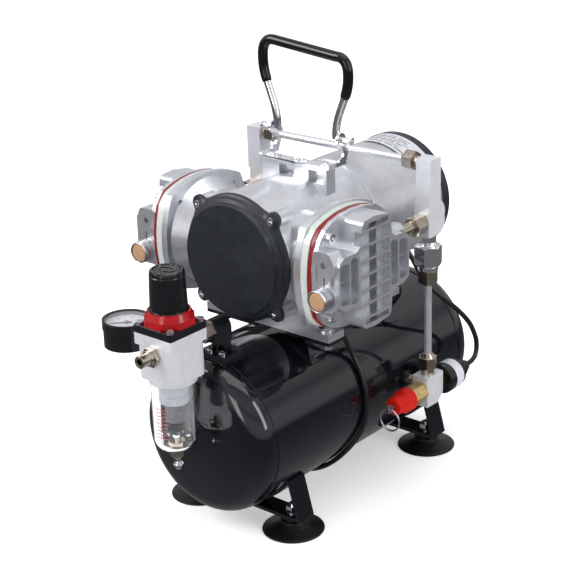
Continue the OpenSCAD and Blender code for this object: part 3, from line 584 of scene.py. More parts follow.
def nut(bm, flats, low, high, origin, axis="Z", bore=0.0, chamfer=0.8, turn=0.0):
    """A hexagon nut: a chamfered disc cut by six planes."""
    part = bmesh.new()
    corner = flats / sqrt(3)
    outline = [(bore, low), (corner - chamfer * 1.7, low), (corner, low + chamfer),
               (corner, high - chamfer), (corner - chamfer * 1.7, high), (bore, high)]
    if bore:
        outline.append((bore, low))
    turned(part, outline, (0, 0, 0), "Z", 96)
    for k in range(6):
        a = turn + k * pi / 3
        normal = Vector((cos(a), sin(a), 0))
        cut = bmesh.ops.bisect_plane(part, geom=part.verts[:] + part.edges[:] + part.faces[:],
                                     plane_co=normal * flats / 2, plane_no=normal, clear_outer=True)
        edges = [g for g in cut["geom_cut"] if isinstance(g, bmesh.types.BMEdge)]
        bmesh.ops.holes_fill(part, edges=edges)
    add_part(bm, part, origin, axis)


def add_part(bm, part, origin=(0, 0, 0), axis="Z"):
    """Adds one bmesh to another, its Z axis laid along axis."""
    turn = Matrix.Translation(origin) @ TURN_TO[axis].to_4x4()
    bmesh.ops.transform(part, matrix=turn, verts=part.verts)
    mesh = bpy.data.meshes.new("part")
    part.to_mesh(mesh)
    part.free()
    bm.from_mesh(mesh)
    bpy.data.meshes.remove(mesh)


def curve_points(points, per_span):
    """A smooth line through points, with per_span steps from each to the next (Catmull-Rom)."""
    pts = [Vector(p) for p in points]
    pts = [2 * pts[0] - pts[1]] + pts + [2 * pts[-1] - pts[-2]]
    out = []
    for i in range(1, len(pts) - 2):
        p0, p1, p2, p3 = pts[i - 1: i + 3]
        for k in range(per_span):
            t = k / per_span
            out.append(0.5 * ((2 * p1) + (p2 - p0) * t + (2 * p0 - 5 * p1 + 4 * p2 - p3) * t * t
                              + (3 * p1 - p0 - 3 * p2 + p3) * t * t * t))
    out.append(pts[-2])
    return out


def capped(bm, rings):
    """Skins rings of points and closes both ends."""
    made = ring_mesh(bm, rings)
    bm.faces.new(made[0][::-1])
    bm.faces.new(made[-1])


def swept(bm, path, radius, sides, taper=None):
    """A round rod along path; taper gives each ring's own radius."""
    side = None
    rings = []
    for i, p in enumerate(path):
        ahead = (path[min(i + 1, len(path) - 1)] - path[max(i - 1, 0)]).normalized()
        if side is None:
            side = ahead.orthogonal().normalized()
        side = (side - ahead * side.dot(ahead)).normalized()
        other = ahead.cross(side)
        r = taper[i] if taper else radius
        rings.append([p + r * (cos(a) * side + sin(a) * other)
                      for a in [2 * pi * k / sides for k in range(sides)]])
    capped(bm, rings)


def block(bm, low, high):
    """A plain block between two corners."""
    made = bmesh.ops.create_cube(bm, size=1)["verts"]
    low, high = Vector(low), Vector(high)
    bmesh.ops.scale(bm, vec=high - low, verts=made)
    bmesh.ops.translate(bm, vec=(low + high) / 2, verts=made)


def between(bm, outline, low, high, place):
    """The solid of an outline of (a, b) between two heights h; place(a, b, h) gives each corner."""
    bottom = [bm.verts.new(place(a, b, low)) for a, b in outline]
    top = [bm.verts.new(place(a, b, high)) for a, b in outline]
    bm.faces.new(bottom[::-1])
    bm.faces.new(top)
    for k in range(len(outline)):
        n = (k + 1) % len(outline)
        bm.faces.new((bottom[k], bottom[n], top[n], top[k]))
    bmesh.ops.recalc_face_normals(bm, faces=bm.faces)


def prism(bm, outline, low, high, origin):
    """An outline of (x, y), given a thickness from low to high."""
    part = bmesh.new()
    between(part, outline, low, high, lambda x, y, z: (x, y, z))
    add_part(bm, part, origin)


# ---------------------------------------------------------------- pieces kept close to CAD

# Width in millimetres of the rounding on the edges of each node that keeps its CAD shape
BEVELS = {
    "tank_barrel": 0.5, "valve_plates": 0.5, "head_gaskets": 0.3,
    "shaft_bearings": 0.3, "rotor": 0.3, "fan": 0.3, "stator": 0.3, "crankshaft": 0.3,
    "piston_left": 0.4, "piston_right": 0.4, "motor_housing": 0.6, "rear_cover": 0.7,
    "air_block_left": 0.9, "air_block_right": 0.9, "cross_tube": 0.2, "down_tube": 0.2,
    "manifold_block": 0.8, "outlet_bracket": 0.7, "regulator_body": 0.7, "regulator_bonnet": 0.5,
    "switch_box": 0.9, "rocker": 0.4, "adjusting_screw": 0.3,
    "drain_screw": 0.3, "pan_screws": 0.2, "head_bolts": 0.3,
    "line_fittings": 0.3, "relief_valve_body": 0.3,
    "relief_stem": 0.2, "pull_ring": 0.0, "switch_boot": 0.6,
    "regulator_ring": 0.4, "regulator_nipples": 0.3, "regulator_bowl": 0.0,
    "drain_nut": 0.3, "drain_pin": 0.2, "gauge_case": 0.5, "gauge_needle": 0.0,
    "handle_base": 0.4, "tank_head_front": 0.0,
    "tank_head_rear": 0.0, "leg_brackets": 0.6, "hex_fasteners": 0.3,
    "crankcase": 1.1,
}
PALE_NODES = ("regulator_body", "manifold_block", "air_block_left", "air_block_right")
for node_name, width in BEVELS.items():
    look = pale_silver if node_name in PALE_NODES else None
    stands_for(finished(copy_of(node_name), width), node_name, look)


# ---------------------------------------------------------------- cylinder heads


def shaped(name, outline, low, high, place):
    """An object of the solid between two heights."""
    bm = bmesh.new()
    between(bm, outline, low, high, place)
    return object_from(bm, name)


def combined(piece, tool, operation, crossing=False):
    """Joins a tool's shape to a piece, or cuts it out. A tool may cross itself if crossing is set."""
    boolean = piece.modifiers.new("boolean", "BOOLEAN")
    boolean.operation = operation
    boolean.object = tool
    boolean.solver = "EXACT"
    boolean.use_self = crossing
    applied(piece)
    bpy.data.objects.remove(tool)


def closed(points, radius):
    """Rounds every corner of a closed outline."""
    start = (Vector(points[0]) + Vector(points[-1])) / 2
    return rounded([start, *points, start], radius, steps=5)[:-1]


def mirrored(points):
    """Completes a quarter outline, its points from the top round to the right, to all four sides."""
    right = list(points) + [(a, -b) for a, b in reversed(points)]
    return right + [(-a, b) for a, b in reversed(right)]


FIN_PITCH, FIN_THICK = 11.5, 1.7
FIN_END = 39.5               # the outermost grooves stop this far from the middle
HEAD_SCREW = (31.5, 31)


def make_head(node):
    """A cylinder head: its flange, its finned body, and the lobe and boss at its front and rear."""
    low, high = box(node)
    side = 1 if high.x > 0 else -1
    inner, outer = min(abs(low.x), abs(high.x)), max(abs(low.x), abs(high.x))
    middle = centre("head_gaskets")
    depth = outer - inner

    def across(u, v, h):
        return Vector((side * (inner + h), middle.y + u, middle.z + v))

    def along(a, b, h):
        return Vector((side * (inner + a), h, middle.z + b))

    flange = mirrored([(0, 45.4), (14, 44.4), (25.5, 41.8), (34, 37.8), (40.5, 31), (45, 21), (46.8, 10)])
    piece = shaped(node + "_piece", closed(flange, 5), 0, 4, across)
    front_half = [(0, 43.6), (-14.5, 42), (-16.5, 25), (-22, 20.8), (-36, 21), (-43, 16.5)]
    rear_half = [(43.4, 16.5), (36, 20.5), (26, 20.8), (21.5, 24), (19.8, 40.6)]
    body = front_half + [(a, -b) for a, b in reversed(front_half)]
    body += [(a, -b) for a, b in reversed(rear_half)] + rear_half
    combined(piece, shaped("body", closed(body, 4), 2, depth, across), "UNION")
    front, rear = low.y + 2, high.y
    lobe = [(0, -21), (18, -21), (21, -17), (21, -6), (16.5, -1), (16.5, 5.5), (20, 10), (20, 17),
            (16, 24.8), (0, 25)]
    combined(piece, shaped("lobe", closed(lobe, 3.8), front, front + 12, along), "UNION")
    boss = [(0, -3), (8, -3), (11.5, 4), (11.5, 17), (8, 20.5), (0, 20.5)]
    combined(piece, shaped("boss", closed(boss, 3), rear - 12, rear, along), "UNION")

    grooves = bmesh.new()
    for k in range(-4, 4):
        start = max(k * FIN_PITCH + FIN_THICK / 2, -FIN_END)
        end = min((k + 1) * FIN_PITCH - FIN_THICK / 2, FIN_END)
        near = -12.2 if abs(k + 0.5) > 3 else -17.6
        far = 17 if abs(k + 0.5) > 3 else 18.6
        for reach, deep in (((near, far), 6.5), ((1.5, 10.5), 15)):
            a, b = across(reach[0], start, depth - deep), across(reach[1], end, depth + 2)
            block(grooves, [min(p) for p in zip(a, b)], [max(p) for p in zip(a, b)])
    combined(piece, object_from(grooves, "grooves"), "DIFFERENCE", True)

    for sign in (-1, 1):
        for near, far, tall in ((20.2, 28.9, 18.6), (30.7, 41.4, 16.4)):
            slot = [(sign * near, -tall), (sign * far, 1 - tall), (sign * far, tall - 1),
                    (sign * near, tall)]
            combined(piece, shaped("slot", closed(slot, 3.2), depth - 12.5, depth + 2, across), "DIFFERENCE")
    hole = [(10 + 2.4 * cos(pi * k / 12), 15 + 2.4 * sin(pi * k / 12)) for k in range(24)]
    combined(piece, shaped("hole", hole, front - 1, front + 7, along), "DIFFERENCE")
    slit = [(10.2, -1), (11.4, -1), (11.4, 5.5), (10.2, 5.5)]
    combined(piece, shaped("slit", slit, front - 1, front + 3, along), "DIFFERENCE")
    for u, v in ((a, b) for a in (-1, 1) for b in (-1, 1)):
        bm = bmesh.new()
        screw = across(u * HEAD_SCREW[0], v * HEAD_SCREW[1], 0)
        turned(bm, [(0, -1), (2.1, -1), (2.1, 7), (0, 7)], screw, "X", 24)
        bmesh.ops.recalc_face_normals(bm, faces=bm.faces)
        combined(piece, object_from(bm, "bolt_hole"), "DIFFERENCE")

    # The middle fin runs on through the slots
    for near, far in ((-41.5, -19.5), (19.5, 41.5)):
        fin = [(near, -0.8), (far, -0.8), (far, 0.8), (near, 0.8)]
        combined(piece, shaped("fin", fin, depth - 12.6, depth - 5, across), "UNION")
    bm = bmesh.new()
    bm.from_mesh(piece.data)
    clean(bm)
    bm.to_mesh(piece.data)
    bm.free()
    stands_for(finished(piece, 0.45), node)


def make_filters():
    """Both intake filters: a rolled metal ring round a disc of sintered bronze."""
    low, high = box("intake_filters")
    rings, discs = bmesh.new(), bmesh.new()
    z = (low.z + high.z) / 2
    r = (high.z - low.z) / 2
    for side in (-1, 1):
        x = side * (high.x - r)
        face = low.y
        turned(rings, [(r - 1.4, face + 4), (r - 1.3, face + 0.5), (r - 0.9, face), (r - 0.3, face + 0.3),
                       (r, face + 1.2), (r, face + 5), (r - 0.5, face + 5.6), (r, face + 6.2),
                       (r, face + 9.9), (3, face + 9.9), (3, face + 4), (r - 1.4, face + 4)],
               (x, 0, z), "Y", 56, 0.2, 2)
        turned(discs, [(0, face + 0.45), (r - 3, face + 0.6), (r - 1.45, face + 1), (r - 1.45, face + 3.9),
                       (0, face + 3.9)], (x, 0, z), "Y", 48, 0.6, 3)
    stands_for(made_of(rings, "filter_rings"), "intake_filters", MATERIALS["steel"])
    placed(made_of(discs, "filter_discs"), "intake_filters", MATERIALS["sintered_bronze"])


for head_node in ("head_left", "head_right"):
    make_head(head_node)
make_filters()

# ---------------------------------------------------------------- regulator and gauge


def make_knob():
    """The knob, with a groove round its skirt and an oval ring raised on its top."""
    low, high = box("regulator_knob")
    mid = (low + high) / 2
    r, z0, z1 = (high.x - low.x) / 2, low.z, high.z
    bm = bmesh.new()
    turned(bm, [(8, z0), (r - 0.4, z0), (r, z0 + 0.6), (r, z0 + 4.2), (r - 0.9, z0 + 4.8),
                (r - 0.9, z0 + 5.6), (r - 0.2, z0 + 6.3), (r - 1.1, z1 - 4.5), (r - 1.5, z1 - 4),
                (r - 1.5, z1 - 3.4), (r - 1.2, z1 - 3), (r - 1.6, z1 - 0.8), (r - 2.6, z1),
                (r - 3.6, z1 - 0.1), (r - 4, z1 - 1.1), (r - 4.6, z1 - 1.1), (r - 5, z1 - 0.5),
                (0, z1 - 0.5)],
           (mid.x, mid.y, 0), "Z", 96, 0.35, 3)
    ring = bmesh.new()
    turned(ring, [(4.1, z1 - 0.9), (4.1, z1 - 0.15), (4.5, z1), (5.0, z1), (5.4, z1 - 0.15), (5.4, z1 - 0.9)],
           (0, 0, 0), "Z", 48)
    bmesh.ops.scale(ring, vec=(1.35, 0.8, 1), verts=ring.verts)
    add_part(bm, ring, (mid.x, mid.y, 0))
    stands_for(made_of(bm, "regulator_knob_piece", smooth=50), "regulator_knob")


DIAL_STEPS = 40
DIAL_FIGURES = 6             # 0 to 10 by twos


def dial_angle(share):
    """Where a share of the gauge's full scale lies on the dial, clockwise from the lower left."""
    return radians(225 - 270 * share)


def make_gauge():
    """The dial with its scale and figures, under a clear lens."""
    low, high = box("gauge_lens")
    mid, r = (low + high) / 2, (high.x - low.x) / 2
    top = box("gauge_case")[1].z
    at = (mid.x, mid.y, 0)
    lens = bmesh.new()
    turned(lens, [(0, top - 1.9), (r - 0.3, top - 1.9), (r, top - 1.6), (r, top - 1.1), (r - 1.2, top - 0.7),
                  (0, top - 0.55)], at, "Z", 72, 0.4, 3)
    stands_for(made_of(lens, "gauge_lens_piece"), "gauge_lens", lens_clear)
    disc = bmesh.new()
    turned(disc, [(1.2, top - 4.35), (r - 0.05, top - 4.35), (r - 0.05, top - 4.0), (1.2, top - 4.0),
                  (1.2, top - 4.35)], at, "Z", 72)
    placed(made_of(disc, "gauge_dial"), "gauge_case", MATERIALS["white_plastic"])
    marks = bmesh.new()
    for k in range(DIAL_STEPS + 1):
        angle = dial_angle(k / DIAL_STEPS)
        inner = r - (4.2 if k % 8 == 0 else 3.4 if k % 4 == 0 else 2.6)
        wide = 0.22 if k % 4 == 0 else 0.11
        ahead, across = Vector((cos(angle), sin(angle), 0)), Vector((-sin(angle), cos(angle), 0))
        ends = [ahead * inner - across * wide, ahead * (r - 1.6) - across * wide,
                ahead * (r - 1.6) + across * wide, ahead * inner + across * wide]
        prism(marks, [(p.x, p.y) for p in ends], top - 4.02, top - 3.96, at)
    placed(object_from(marks, "gauge_marks"), "gauge_case", black_ink)
    for k in range(DIAL_FIGURES):
        angle = dial_angle(k / (DIAL_FIGURES - 1))
        curve = bpy.data.curves.new("figure", "FONT")
        curve.body = str(2 * k)
        curve.size = 3.0 * MM
        curve.align_x, curve.align_y = "CENTER", "CENTER"
        curve.extrude = 0.03 * MM
        figure = linked("gauge_figure_%d" % k, curve)
        figure.location = ((mid.x + (r - 6.6) * cos(angle)) * MM, (mid.y + (r - 6.6) * sin(angle)) * MM,
                           (top - 3.98) * MM)
        bpy.context.view_layer.update()
        graph = bpy.context.evaluated_depsgraph_get()
        mesh = bpy.data.meshes.new_from_object(figure.evaluated_get(graph))
        mesh.transform(figure.matrix_world)
        bpy.data.objects.remove(figure)
        mesh.materials.clear()
        placed(linked("gauge_figure_%d" % k, mesh), "gauge_case", black_ink)


SCALE_LINES, SCALE_PITCH, SCALE_FOOT = 9, 3, 14


def make_bowl_scale():
    """Red graduations printed on the bowl's front."""
    low, high = box("regulator_bowl")
    mid, r = (low + high) / 2, (high.x - low.x) / 2
    marks = bmesh.new()
    for k in range(SCALE_LINES):
        z = low.z + SCALE_FOOT + SCALE_PITCH * k
        half = 20 if k % 4 == 0 else 14
        rings = []
        here = r - 0.42 + 0.5 * SCALE_PITCH * k / (high.z - low.z - SCALE_FOOT)
        for step in range(9):
            angle = radians(-84 + half * (step / 4 - 1))
            out = Vector((cos(angle), sin(angle), 0))
            rings.append([Vector((mid.x, mid.y, z)) + out * (here + d) + Vector((0, 0, h))
                          for d, h in ((-0.2, -0.25), (0.08, -0.25), (0.08, 0.25), (-0.2, 0.25))])
        capped(marks, rings)
    bmesh.ops.recalc_face_normals(marks, faces=marks.faces)
    placed(object_from(marks, "bowl_scale"), "regulator_bowl", red_ink)


make_knob()
make_gauge()
make_bowl_scale()

# ---------------------------------------------------------------- air line details


def make_pressure_switch():
    """The switch's brass fitting, its two black rims and the white band between them."""
    low, high = box("pressure_switch")
    mid = (low + high) / 2
    end, r = high.y, (high.z - low.z) / 2
    fitting, rims, band = bmesh.new(), bmesh.new(), bmesh.new()
    nut(fitting, 13, end - 29, end - 22.2, (mid.x, 0, mid.z), "Y")
    turned(fitting, [(0, low.y), (4.3, low.y), (4.3, end - 28), (0, end - 28)], (mid.x, 0, mid.z), "Y", 40)
    turned(rims, [(0, end - 22), (7, end - 22), (7, end - 20.8), (9.4, end - 20.8), (9.8, end - 22),
                  (r - 0.7, end - 22), (r, end - 21.2), (r, end - 15), (r - 0.6, end - 14.2),
                  (0, end - 14.2)],
           (mid.x, 0, mid.z), "Y", 72, 0.3, 2)
    turned(rims, [(0, end - 4.2), (r - 0.8, end - 4.2), (r - 0.8, end - 1), (r - 1.8, end), (0, end)],
           (mid.x, 0, mid.z), "Y", 72, 0.5, 3)
    turned(band, [(0, end - 14.1), (r - 0.3, end - 14.1), (r - 0.1, end - 13.6), (r - 0.1, end - 4.8),
                  (r - 0.3, end - 4.3), (0, end - 4.3)], (mid.x, 0, mid.z), "Y", 72, 0.2, 2)
    stands_for(made_of(rims, "switch_rims"), "pressure_switch", MATERIALS["black_plastic"])
    placed(made_of(band, "switch_band"), "pressure_switch", MATERIALS["white_plastic"])
    placed(made_of(fitting, "switch_fitting"), "pressure_switch", MATERIALS["bare_brass"])


def make_relief_cap():
    """The stepped cap, hollow behind its front wall, with the stem's hole through that wall."""
    low, high = box("relief_valve_cap")
    mid = (low + high) / 2
    y0, r = low.y, (high.z - low.z) / 2
    bm = bmesh.new()
    turned(bm, [(1.7, y0 + 2), (1.7, y0), (r - 3.2, y0), (r - 2.3, y0 + 0.9), (r - 2.2, y0 + 8.6),
                (r - 1.4, y0 + 9.9), (r, y0 + 11.6), (r, y0 + 20.2), (r - 0.7, y0 + 21), (6.1, y0 + 21),
                (6.1, y0 + 11.9), (1.7, y0 + 11.9), (1.7, y0 + 2)], (mid.x, 0, mid.z), "Y", 72, 0.6, 3)
    stands_for(made_of(bm, "relief_cap_piece"), "relief_valve_cap", orange_red)


make_pressure_switch()
make_relief_cap()

# ---------------------------------------------------------------- label and strip


def make_label():
    """A white film with generic lines of print, on the top of the motor's rear end."""
    low, high = box("rear_cover")
    middle = (low + high) / 2
    skin = (high.z - low.z) / 2 + 0.02

    def patch(bm, a0, a1, y0, y1, inner, outer, steps):
        rings = []
        for k in range(steps + 1):
            angle = radians(a0 + (a1 - a0) * k / steps)
            out = Vector((sin(angle), 0, cos(angle)))
            base = Vector((middle.x, 0, middle.z))
            rings.append([base + out * d + Vector((0, y, 0))
                          for d, y in ((inner, y0), (outer, y0), (outer, y1), (inner, y1))])
        capped(bm, rings)

    film = bmesh.new()
    end = min(low.y, box("motor_housing")[1].y) - 1
    patch(film, -14, 46, end - 27, end, skin - 0.1, skin + 0.12, 40)
    placed(made_of(film, "rating_label"), "motor_housing", label_white)
    ink = bmesh.new()
    for row in range(6):
        y = end - 23.5 + 3.7 * row
        start = -10
        for length in ((16, 9, 14), (8, 21), (24, 6), (11, 15, 7), (19, 12), (7, 9, 13))[row]:
            patch(ink, start, start + length, y, y + (0.9 if row % 2 else 1.3), skin + 0.1, skin + 0.16, 8)
            start += length + 2.2
    bmesh.ops.recalc_face_normals(ink, faces=ink.faces)
    placed(object_from(ink, "label_print"), "motor_housing", grey_ink)


def make_strip_details():
    """The raised oval and the two end screws of the handle's strip."""
    low = box("handle_base")[0]
    top = low.z + 2
    bm = bmesh.new()
    oval = bmesh.new()
    turned(oval, [(3.2, top - 0.5), (3.2, top + 0.35), (3.7, top + 0.8), (4.4, top + 0.8), (5, top + 0.3),
                  (5, top - 0.5)], (0, 0, 0), "Z", 48, 0.3, 3)
    bmesh.ops.scale(oval, vec=(1.6, 0.9, 1), verts=oval.verts)
    add_part(bm, oval, (2, low.y + 5, 0))
    for side in (-1, 1):
        turned(bm, [(0, top + 2.1), (1.8, top + 2), (3.2, top + 1.3), (3.8, top + 0.2), (3.8, top - 0.5)],
               (side * 27.5, low.y + 5, 0), "Z", 36, 0.5, 3)
    placed(made_of(bm, "strip_details", smooth=50), "handle_base")


# One side of the bail from its pivot up, as (distance from the middle, height)
HANDLE_SIDE = [(29.9, 297), (30, 303), (31, 309), (32.7, 315.5), (34.8, 321), (37, 326.5), (39.2, 332),
               (41.2, 338), (42.5, 344), (42.9, 350), (42.6, 355.5), (41.2, 360), (38.5, 363.2),
               (35, 364.8), (31, 365)]
GRIP_FROM = 6                # place in HANDLE_SIDE where the grip starts
HANDLE_SKEW = 3              # the grip's right end sits this much lower, its left end higher
ROD_R = 3.1


def make_handle():
    """The bent steel bail with its two pivot pins, and the dipped grip with its soft ends."""
    eye = centre("handle_bail")
    pin_end = box("handle_bail")[1].x
    pivot_z, top_z = HANDLE_SIDE[0][1], HANDLE_SIDE[-1][1]

    def side(sign, first=0):
        return [Vector((sign * x, eye.y, z - sign * HANDLE_SKEW * (z - pivot_z) / (top_z - pivot_z)))
                for x, z in HANDLE_SIDE[first:]]

    def bent(first=0):
        left, right = side(-1, first), side(1, first)[::-1]
        straight = [left[-1].lerp(right[0], share) for share in (0.08, 0.25, 0.5, 0.75, 0.92)]
        return curve_points(left + straight + right, 6)

    bail, grip = bmesh.new(), bmesh.new()
    swept(bail, bent(), ROD_R, 32)
    pin = [(0, 29), (2, 29), (2, pin_end - 2.2), (3.4, pin_end - 1.7), (3.4, pin_end - 0.7),
           (2.7, pin_end), (0, pin_end)]
    for sign in (-1, 1):
        turned(bail, [(r, sign * x) for r, x in pin], (0, eye.y, pivot_z), "X", 32)
    path = bent(GRIP_FROM)
    grip_r = (box("handle_grip")[1].y - box("handle_grip")[0].y) / 2 - 0.06
    ends = [0.86, 0.93, 0.98]    # shares of the grip's radius at its first and last rings
    taper = [grip_r * share for share in ends + [1] * (len(path) - 2 * len(ends)) + ends[::-1]]
    swept(grip, path, grip_r, 32, taper)
    stands_for(made_of(bail, "handle_bail_piece", smooth=45), "handle_bail")
    stands_for(made_of(grip, "handle_grip_piece", smooth=50), "handle_grip")


# Both leads' routes, as in the CAD
LEAD_R = 2.1
SWITCH_ROUTE = [(85, 100, 82.5), (85, 105, 82.5), (84.8, 110, 83.2), (84.4, 115, 85.6), (83.8, 118, 91),
                (83, 118.5, 99), (82, 116, 107), (81, 112, 115), (79.5, 106, 123), (77.5, 100, 130),
                (75, 94, 136.5), (71.5, 88, 143), (67.5, 83, 149), (63.5, 78.5, 155), (60, 75, 161),
                (57, 72.5, 168), (54.5, 70, 175), (52, 68.5, 181), (49, 67, 186.5), (45.5, 66, 190.5)]
MOTOR_ROUTE = [(36, -8, 181), (38, -12, 174), (41, -18, 166), (44, -22, 158), (46.5, -23, 150),
               (49, -21, 141.5), (51.5, -18, 132.5), (55, -15.5, 122), (59.5, -14.5, 113),
               (63.4, -14.5, 102.8), (65.7, -14.5, 92.5), (66.4, -15, 81.5), (65.5, -16, 71),
               (62.9, -18, 60.8), (58.5, -22, 51), (52.5, -26.5, 42), (45, -30, 33.7), (36, -32.5, 26.5),
               (26, -33.5, 21.2), (15, -33.5, 17.6), (3, -33, 16), (-9, -32, 16.6), (-20.5, -30, 19.2),
               (-31.5, -27, 23.9), (-41.5, -22, 30.5), (-51, -15.5, 38), (-60, -8.5, 42),
               (-67.5, -4, 42.2), (-73, -1, 42.8), (-76, 0, 46.5), (-76, 0, 50)]


def make_leads():
    for node, route in (("switch_lead", SWITCH_ROUTE), ("motor_lead", MOTOR_ROUTE)):
        bm = bmesh.new()
        swept(bm, curve_points(route, 5), LEAD_R, 20)
        stands_for(made_of(bm, node + "_piece", smooth=50), node)


make_label()
make_strip_details()
make_handle()
make_leads()

# ---------------------------------------------------------------- front cover and check valve


def make_cover():
    """A pressed black cover: a flat disc, a stepped rim, and a flange that swells round four screws."""
    low, high = box("front_cover")
    mid = (low + high) / 2
    face, back = low.y, high.y
    lug_r, lug_at = 53.7, pi / 4
    profile = [(0, face, 0), (20, face, 0), (38, face, 0), (43.6, face, 0), (44.6, face + 0.4, 0),
               (45.1, face + 1.4, 0), (45.3, face + 3.4, 0), (45.9, face + 4.1, 0), (47.4, face + 4.5, 0),
               (48.3, face + 5.1, 0.05), (48.7, face + 6.2, 0.15), (48.9, face + 7.2, 0.4),
               (49.6, face + 7.9, 0.85), (50.6, face + 8.3, 1), (51.2, face + 9, 1), (51.3, back - 0.3, 1),
               (51.0, back, 1)]
    bm = bmesh.new()
    sides = 240
    rings = []
    for r0, y, share in profile:
        ring = []
        for k in range(sides):
            angle = 2 * pi * k / sides
            swell = 0
            for quarter in range(4):
                lug = (pi / 2) * quarter + lug_at
                off = abs((angle - lug + pi) % (2 * pi) - pi) * lug_r
                swell = max(swell, lug_height(off))
            reach = r0 + share * swell
            ring.append(Vector((mid.x + reach * cos(angle), y, mid.z + reach * sin(angle))))
        rings.append(ring)
    ring_mesh(bm, rings)
    bmesh.ops.remove_doubles(bm, verts=bm.verts, dist=1e-4)
    rim = [e for e in bm.edges if e.is_boundary]
    bmesh.ops.holes_fill(bm, edges=rim)
    stands_for(made_of(bm, "front_cover_piece", smooth=40), "front_cover")


def lug_height(off):
    """How far the cover's flange swells at a distance along its rim from a screw."""
    skirt = 5.5 * max(0, 1 - off / 15) ** 2
    return max(2.4 + sqrt(36 - off ** 2), skirt) if off < 6 else skirt


def make_check_valve():
    """The valve's round foot, its hexagon and its necked top."""
    low, high = box("check_valve")
    mid = (low + high) / 2
    z0 = low.z
    bm = bmesh.new()
    at = (mid.x, mid.y, 0)
    turned(bm, [(3.1, z0), (7.6, z0), (8.4, z0 + 0.8), (8.4, z0 + 3.6), (9, z0 + 4.2), (3.1, z0 + 4.2),
                (3.1, z0)], at, "Z", 64, 0.4, 3)
    nut(bm, 20, z0 + 4.2, z0 + 21.8, at, bore=3.1, chamfer=1.6, turn=radians(20))
    turned(bm, [(3, z0 + 21.6), (8.6, z0 + 21.6), (7.2, z0 + 22.8), (6.5, z0 + 24.5), (6.5, z0 + 30.4),
                (6, z0 + 31), (3.9, z0 + 31), (3.9, z0 + 36), (3, z0 + 36), (3, z0 + 21.6)],
           at, "Z", 64, 0.5, 3)
    stands_for(made_of(bm, "check_valve_piece", 0.25), "check_valve")


ELEMENT_RIBS, RIB_PITCH = 6, 2.3


def make_bowl_filter():
    """The white baffle under the body and the pale element below it."""
    low, high = box("bowl_filter")
    mid = (low + high) / 2
    at = (mid.x, mid.y, 0)
    r = (high.x - low.x) / 2
    shelf = low.z + 16
    baffle, element = bmesh.new(), bmesh.new()
    turned(baffle, [(0, shelf), (r - 3, shelf), (r - 1.2, shelf + 0.3), (r, shelf + 1.5), (r, shelf + 7),
                    (r - 0.7, shelf + 7.6), (r - 0.7, shelf + 9), (r, shelf + 9.6), (r, high.z),
                    (0, high.z)], at, "Z", 64, 0.5, 3)
    outline = [(0, low.z), (5.2, low.z), (6.6, low.z + 0.8)]
    for k in range(ELEMENT_RIBS):
        z = low.z + RIB_PITCH * k
        outline += [(7, z + 1.4), (7, z + 2.8), (6.5, z + 3.1), (6.5, z + 3.4)]
    turned(element, outline + [(6.5, shelf - 0.05), (0, shelf - 0.05)], at, "Z", 48)
    stands_for(made_of(baffle, "bowl_baffle"), "bowl_filter", MATERIALS["white_plastic"])
    placed(made_of(element, "filter_element"), "bowl_filter", smoke_plastic)


CUP_R = 25


def make_suction_cups():
    """Four cups, each hollow underneath, with a neck up to its leg."""
    low, high = box("suction_cups")
    r = CUP_R
    bm = bmesh.new()
    for x in (low.x + r, high.x - r):
        for y in (low.y + r, high.y - r):
            turned(bm, [(0, 3.4), (9, 2.9), (18, 1.3), (24, 0), (24.8, 0.05), (r, 0.5), (24.9, 1.2),
                        (23.2, 1.9), (18.5, 3.3), (14, 5.0), (11.2, 6.7), (10.2, 7.6), (10, 8.8), (9.2, 9.3),
                        (8, 9.5), (7.9, high.z - 0.6), (7.3, high.z), (3.1, high.z), (3.1, 6), (0, 6)],
                   (x, y, 0), "Z", 72, 0.8, 3)
    stands_for(made_of(bm, "suction_cup_pieces", smooth=45), "suction_cups")


make_cover()
make_check_valve()
make_bowl_filter()
make_suction_cups()

# ---------------------------------------------------------------- floor and light

FLOOR_SIZE = 30
FLOOR_DROP = 0.0002          # keeps the floor just under the feet
FLOOR_GLOW = 0.36
LIGHT_AIM = Vector((0, 0, 0.2))
# Brightness of the surroundings: each level is (height from straight down 0 to straight up 1, grey)
WORLD_LEVELS = [(0.0, 0.30), (0.30, 0.16), (0.46, 0.10), (0.51, 0.70), (0.62, 0.80), (0.70, 0.42),
                (0.80, 0.82), (0.90, 0.62), (1.0, 0.35)]
WORLD_BLUE = 1.04            # how much more blue than red each level has


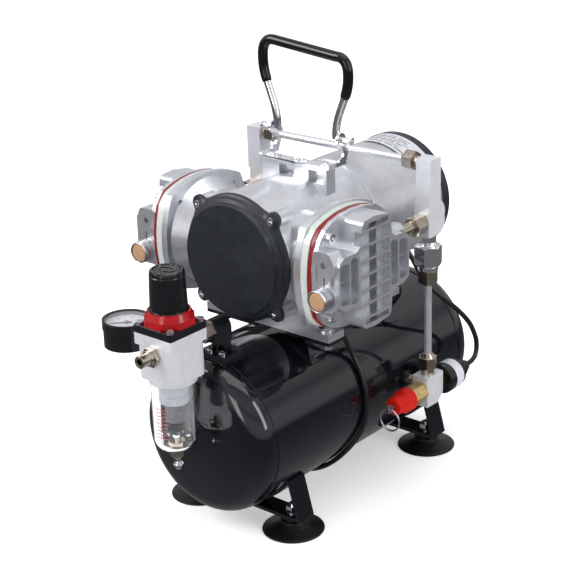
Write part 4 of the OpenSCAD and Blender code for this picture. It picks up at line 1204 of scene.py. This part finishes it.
def make_stage():
    bpy.ops.mesh.primitive_plane_add(size=FLOOR_SIZE, location=(0, 0, -FLOOR_DROP))
    floor = bpy.context.object
    floor.name = "floor"
    n = Nodes("floor_paint")
    n.colour(n.noise(400, 2), (0.90, 0.90, 0.90), (0.92, 0.92, 0.92))
    n.roughness(n.noise(200, 2), 0.7, 0.8)
    n.set(Emission_Color=(1, 1, 1, 1), Emission_Strength=FLOOR_GLOW)
    floor.data.materials.append(n.material)
    floor.visible_glossy = False


def area_light(name, location, size, power):
    """A soft light that faces the object's middle."""
    data = bpy.data.lights.new(name, "AREA")
    data.shape = "RECTANGLE"
    data.size, data.size_y = size
    data.energy = power
    light = linked(name, data)
    light.location = location
    light.rotation_mode = "QUATERNION"
    light.rotation_quaternion = (LIGHT_AIM - Vector(location)).to_track_quat("-Z", "Y")


def make_world():
    """White behind the object; what lights it is a bright band over a darker ground."""
    world = bpy.data.worlds.new("studio")
    bpy.context.scene.world = world
    world.use_nodes = True
    tree = world.node_tree
    nodes, links = tree.nodes, tree.links
    split = nodes.new("ShaderNodeSeparateXYZ")
    links.new(nodes.new("ShaderNodeTexCoord").outputs["Generated"], split.inputs[0])
    ramp = nodes.new("ShaderNodeValToRGB")
    spread = nodes.new("ShaderNodeMapRange")
    spread.inputs["From Min"].default_value = -1
    links.new(split.outputs["Z"], spread.inputs["Value"])
    links.new(spread.outputs["Result"], ramp.inputs["Fac"])
    fill(ramp.color_ramp, [(at, (level, level, level * WORLD_BLUE)) for at, level in WORLD_LEVELS])
    white = nodes.new("ShaderNodeBackground")
    white.inputs["Color"].default_value = (1, 1, 1, 1)
    room = nodes["Background"]
    room.inputs["Strength"].default_value = 1.0
    links.new(ramp.outputs["Color"], room.inputs["Color"])
    mix = nodes.new("ShaderNodeMixShader")
    links.new(nodes.new("ShaderNodeLightPath").outputs["Is Camera Ray"], mix.inputs["Fac"])
    links.new(room.outputs["Background"], mix.inputs[1])
    links.new(white.outputs["Background"], mix.inputs[2])
    links.new(mix.outputs["Shader"], nodes["World Output"].inputs["Surface"])


make_stage()
make_world()
area_light("key", (-1.3, -1.4, 1.5), (0.9, 1.2), 30)
area_light("side", (1.7, 0.2, 1.0), (0.5, 1.3), 12)
area_light("top", (0.1, 0.1, 1.9), (1.6, 1.6), 15)
area_light("front", (0.2, -2.1, 0.7), (0.5, 1.0), 6)
bpy.context.scene.view_settings.view_transform = "Standard"
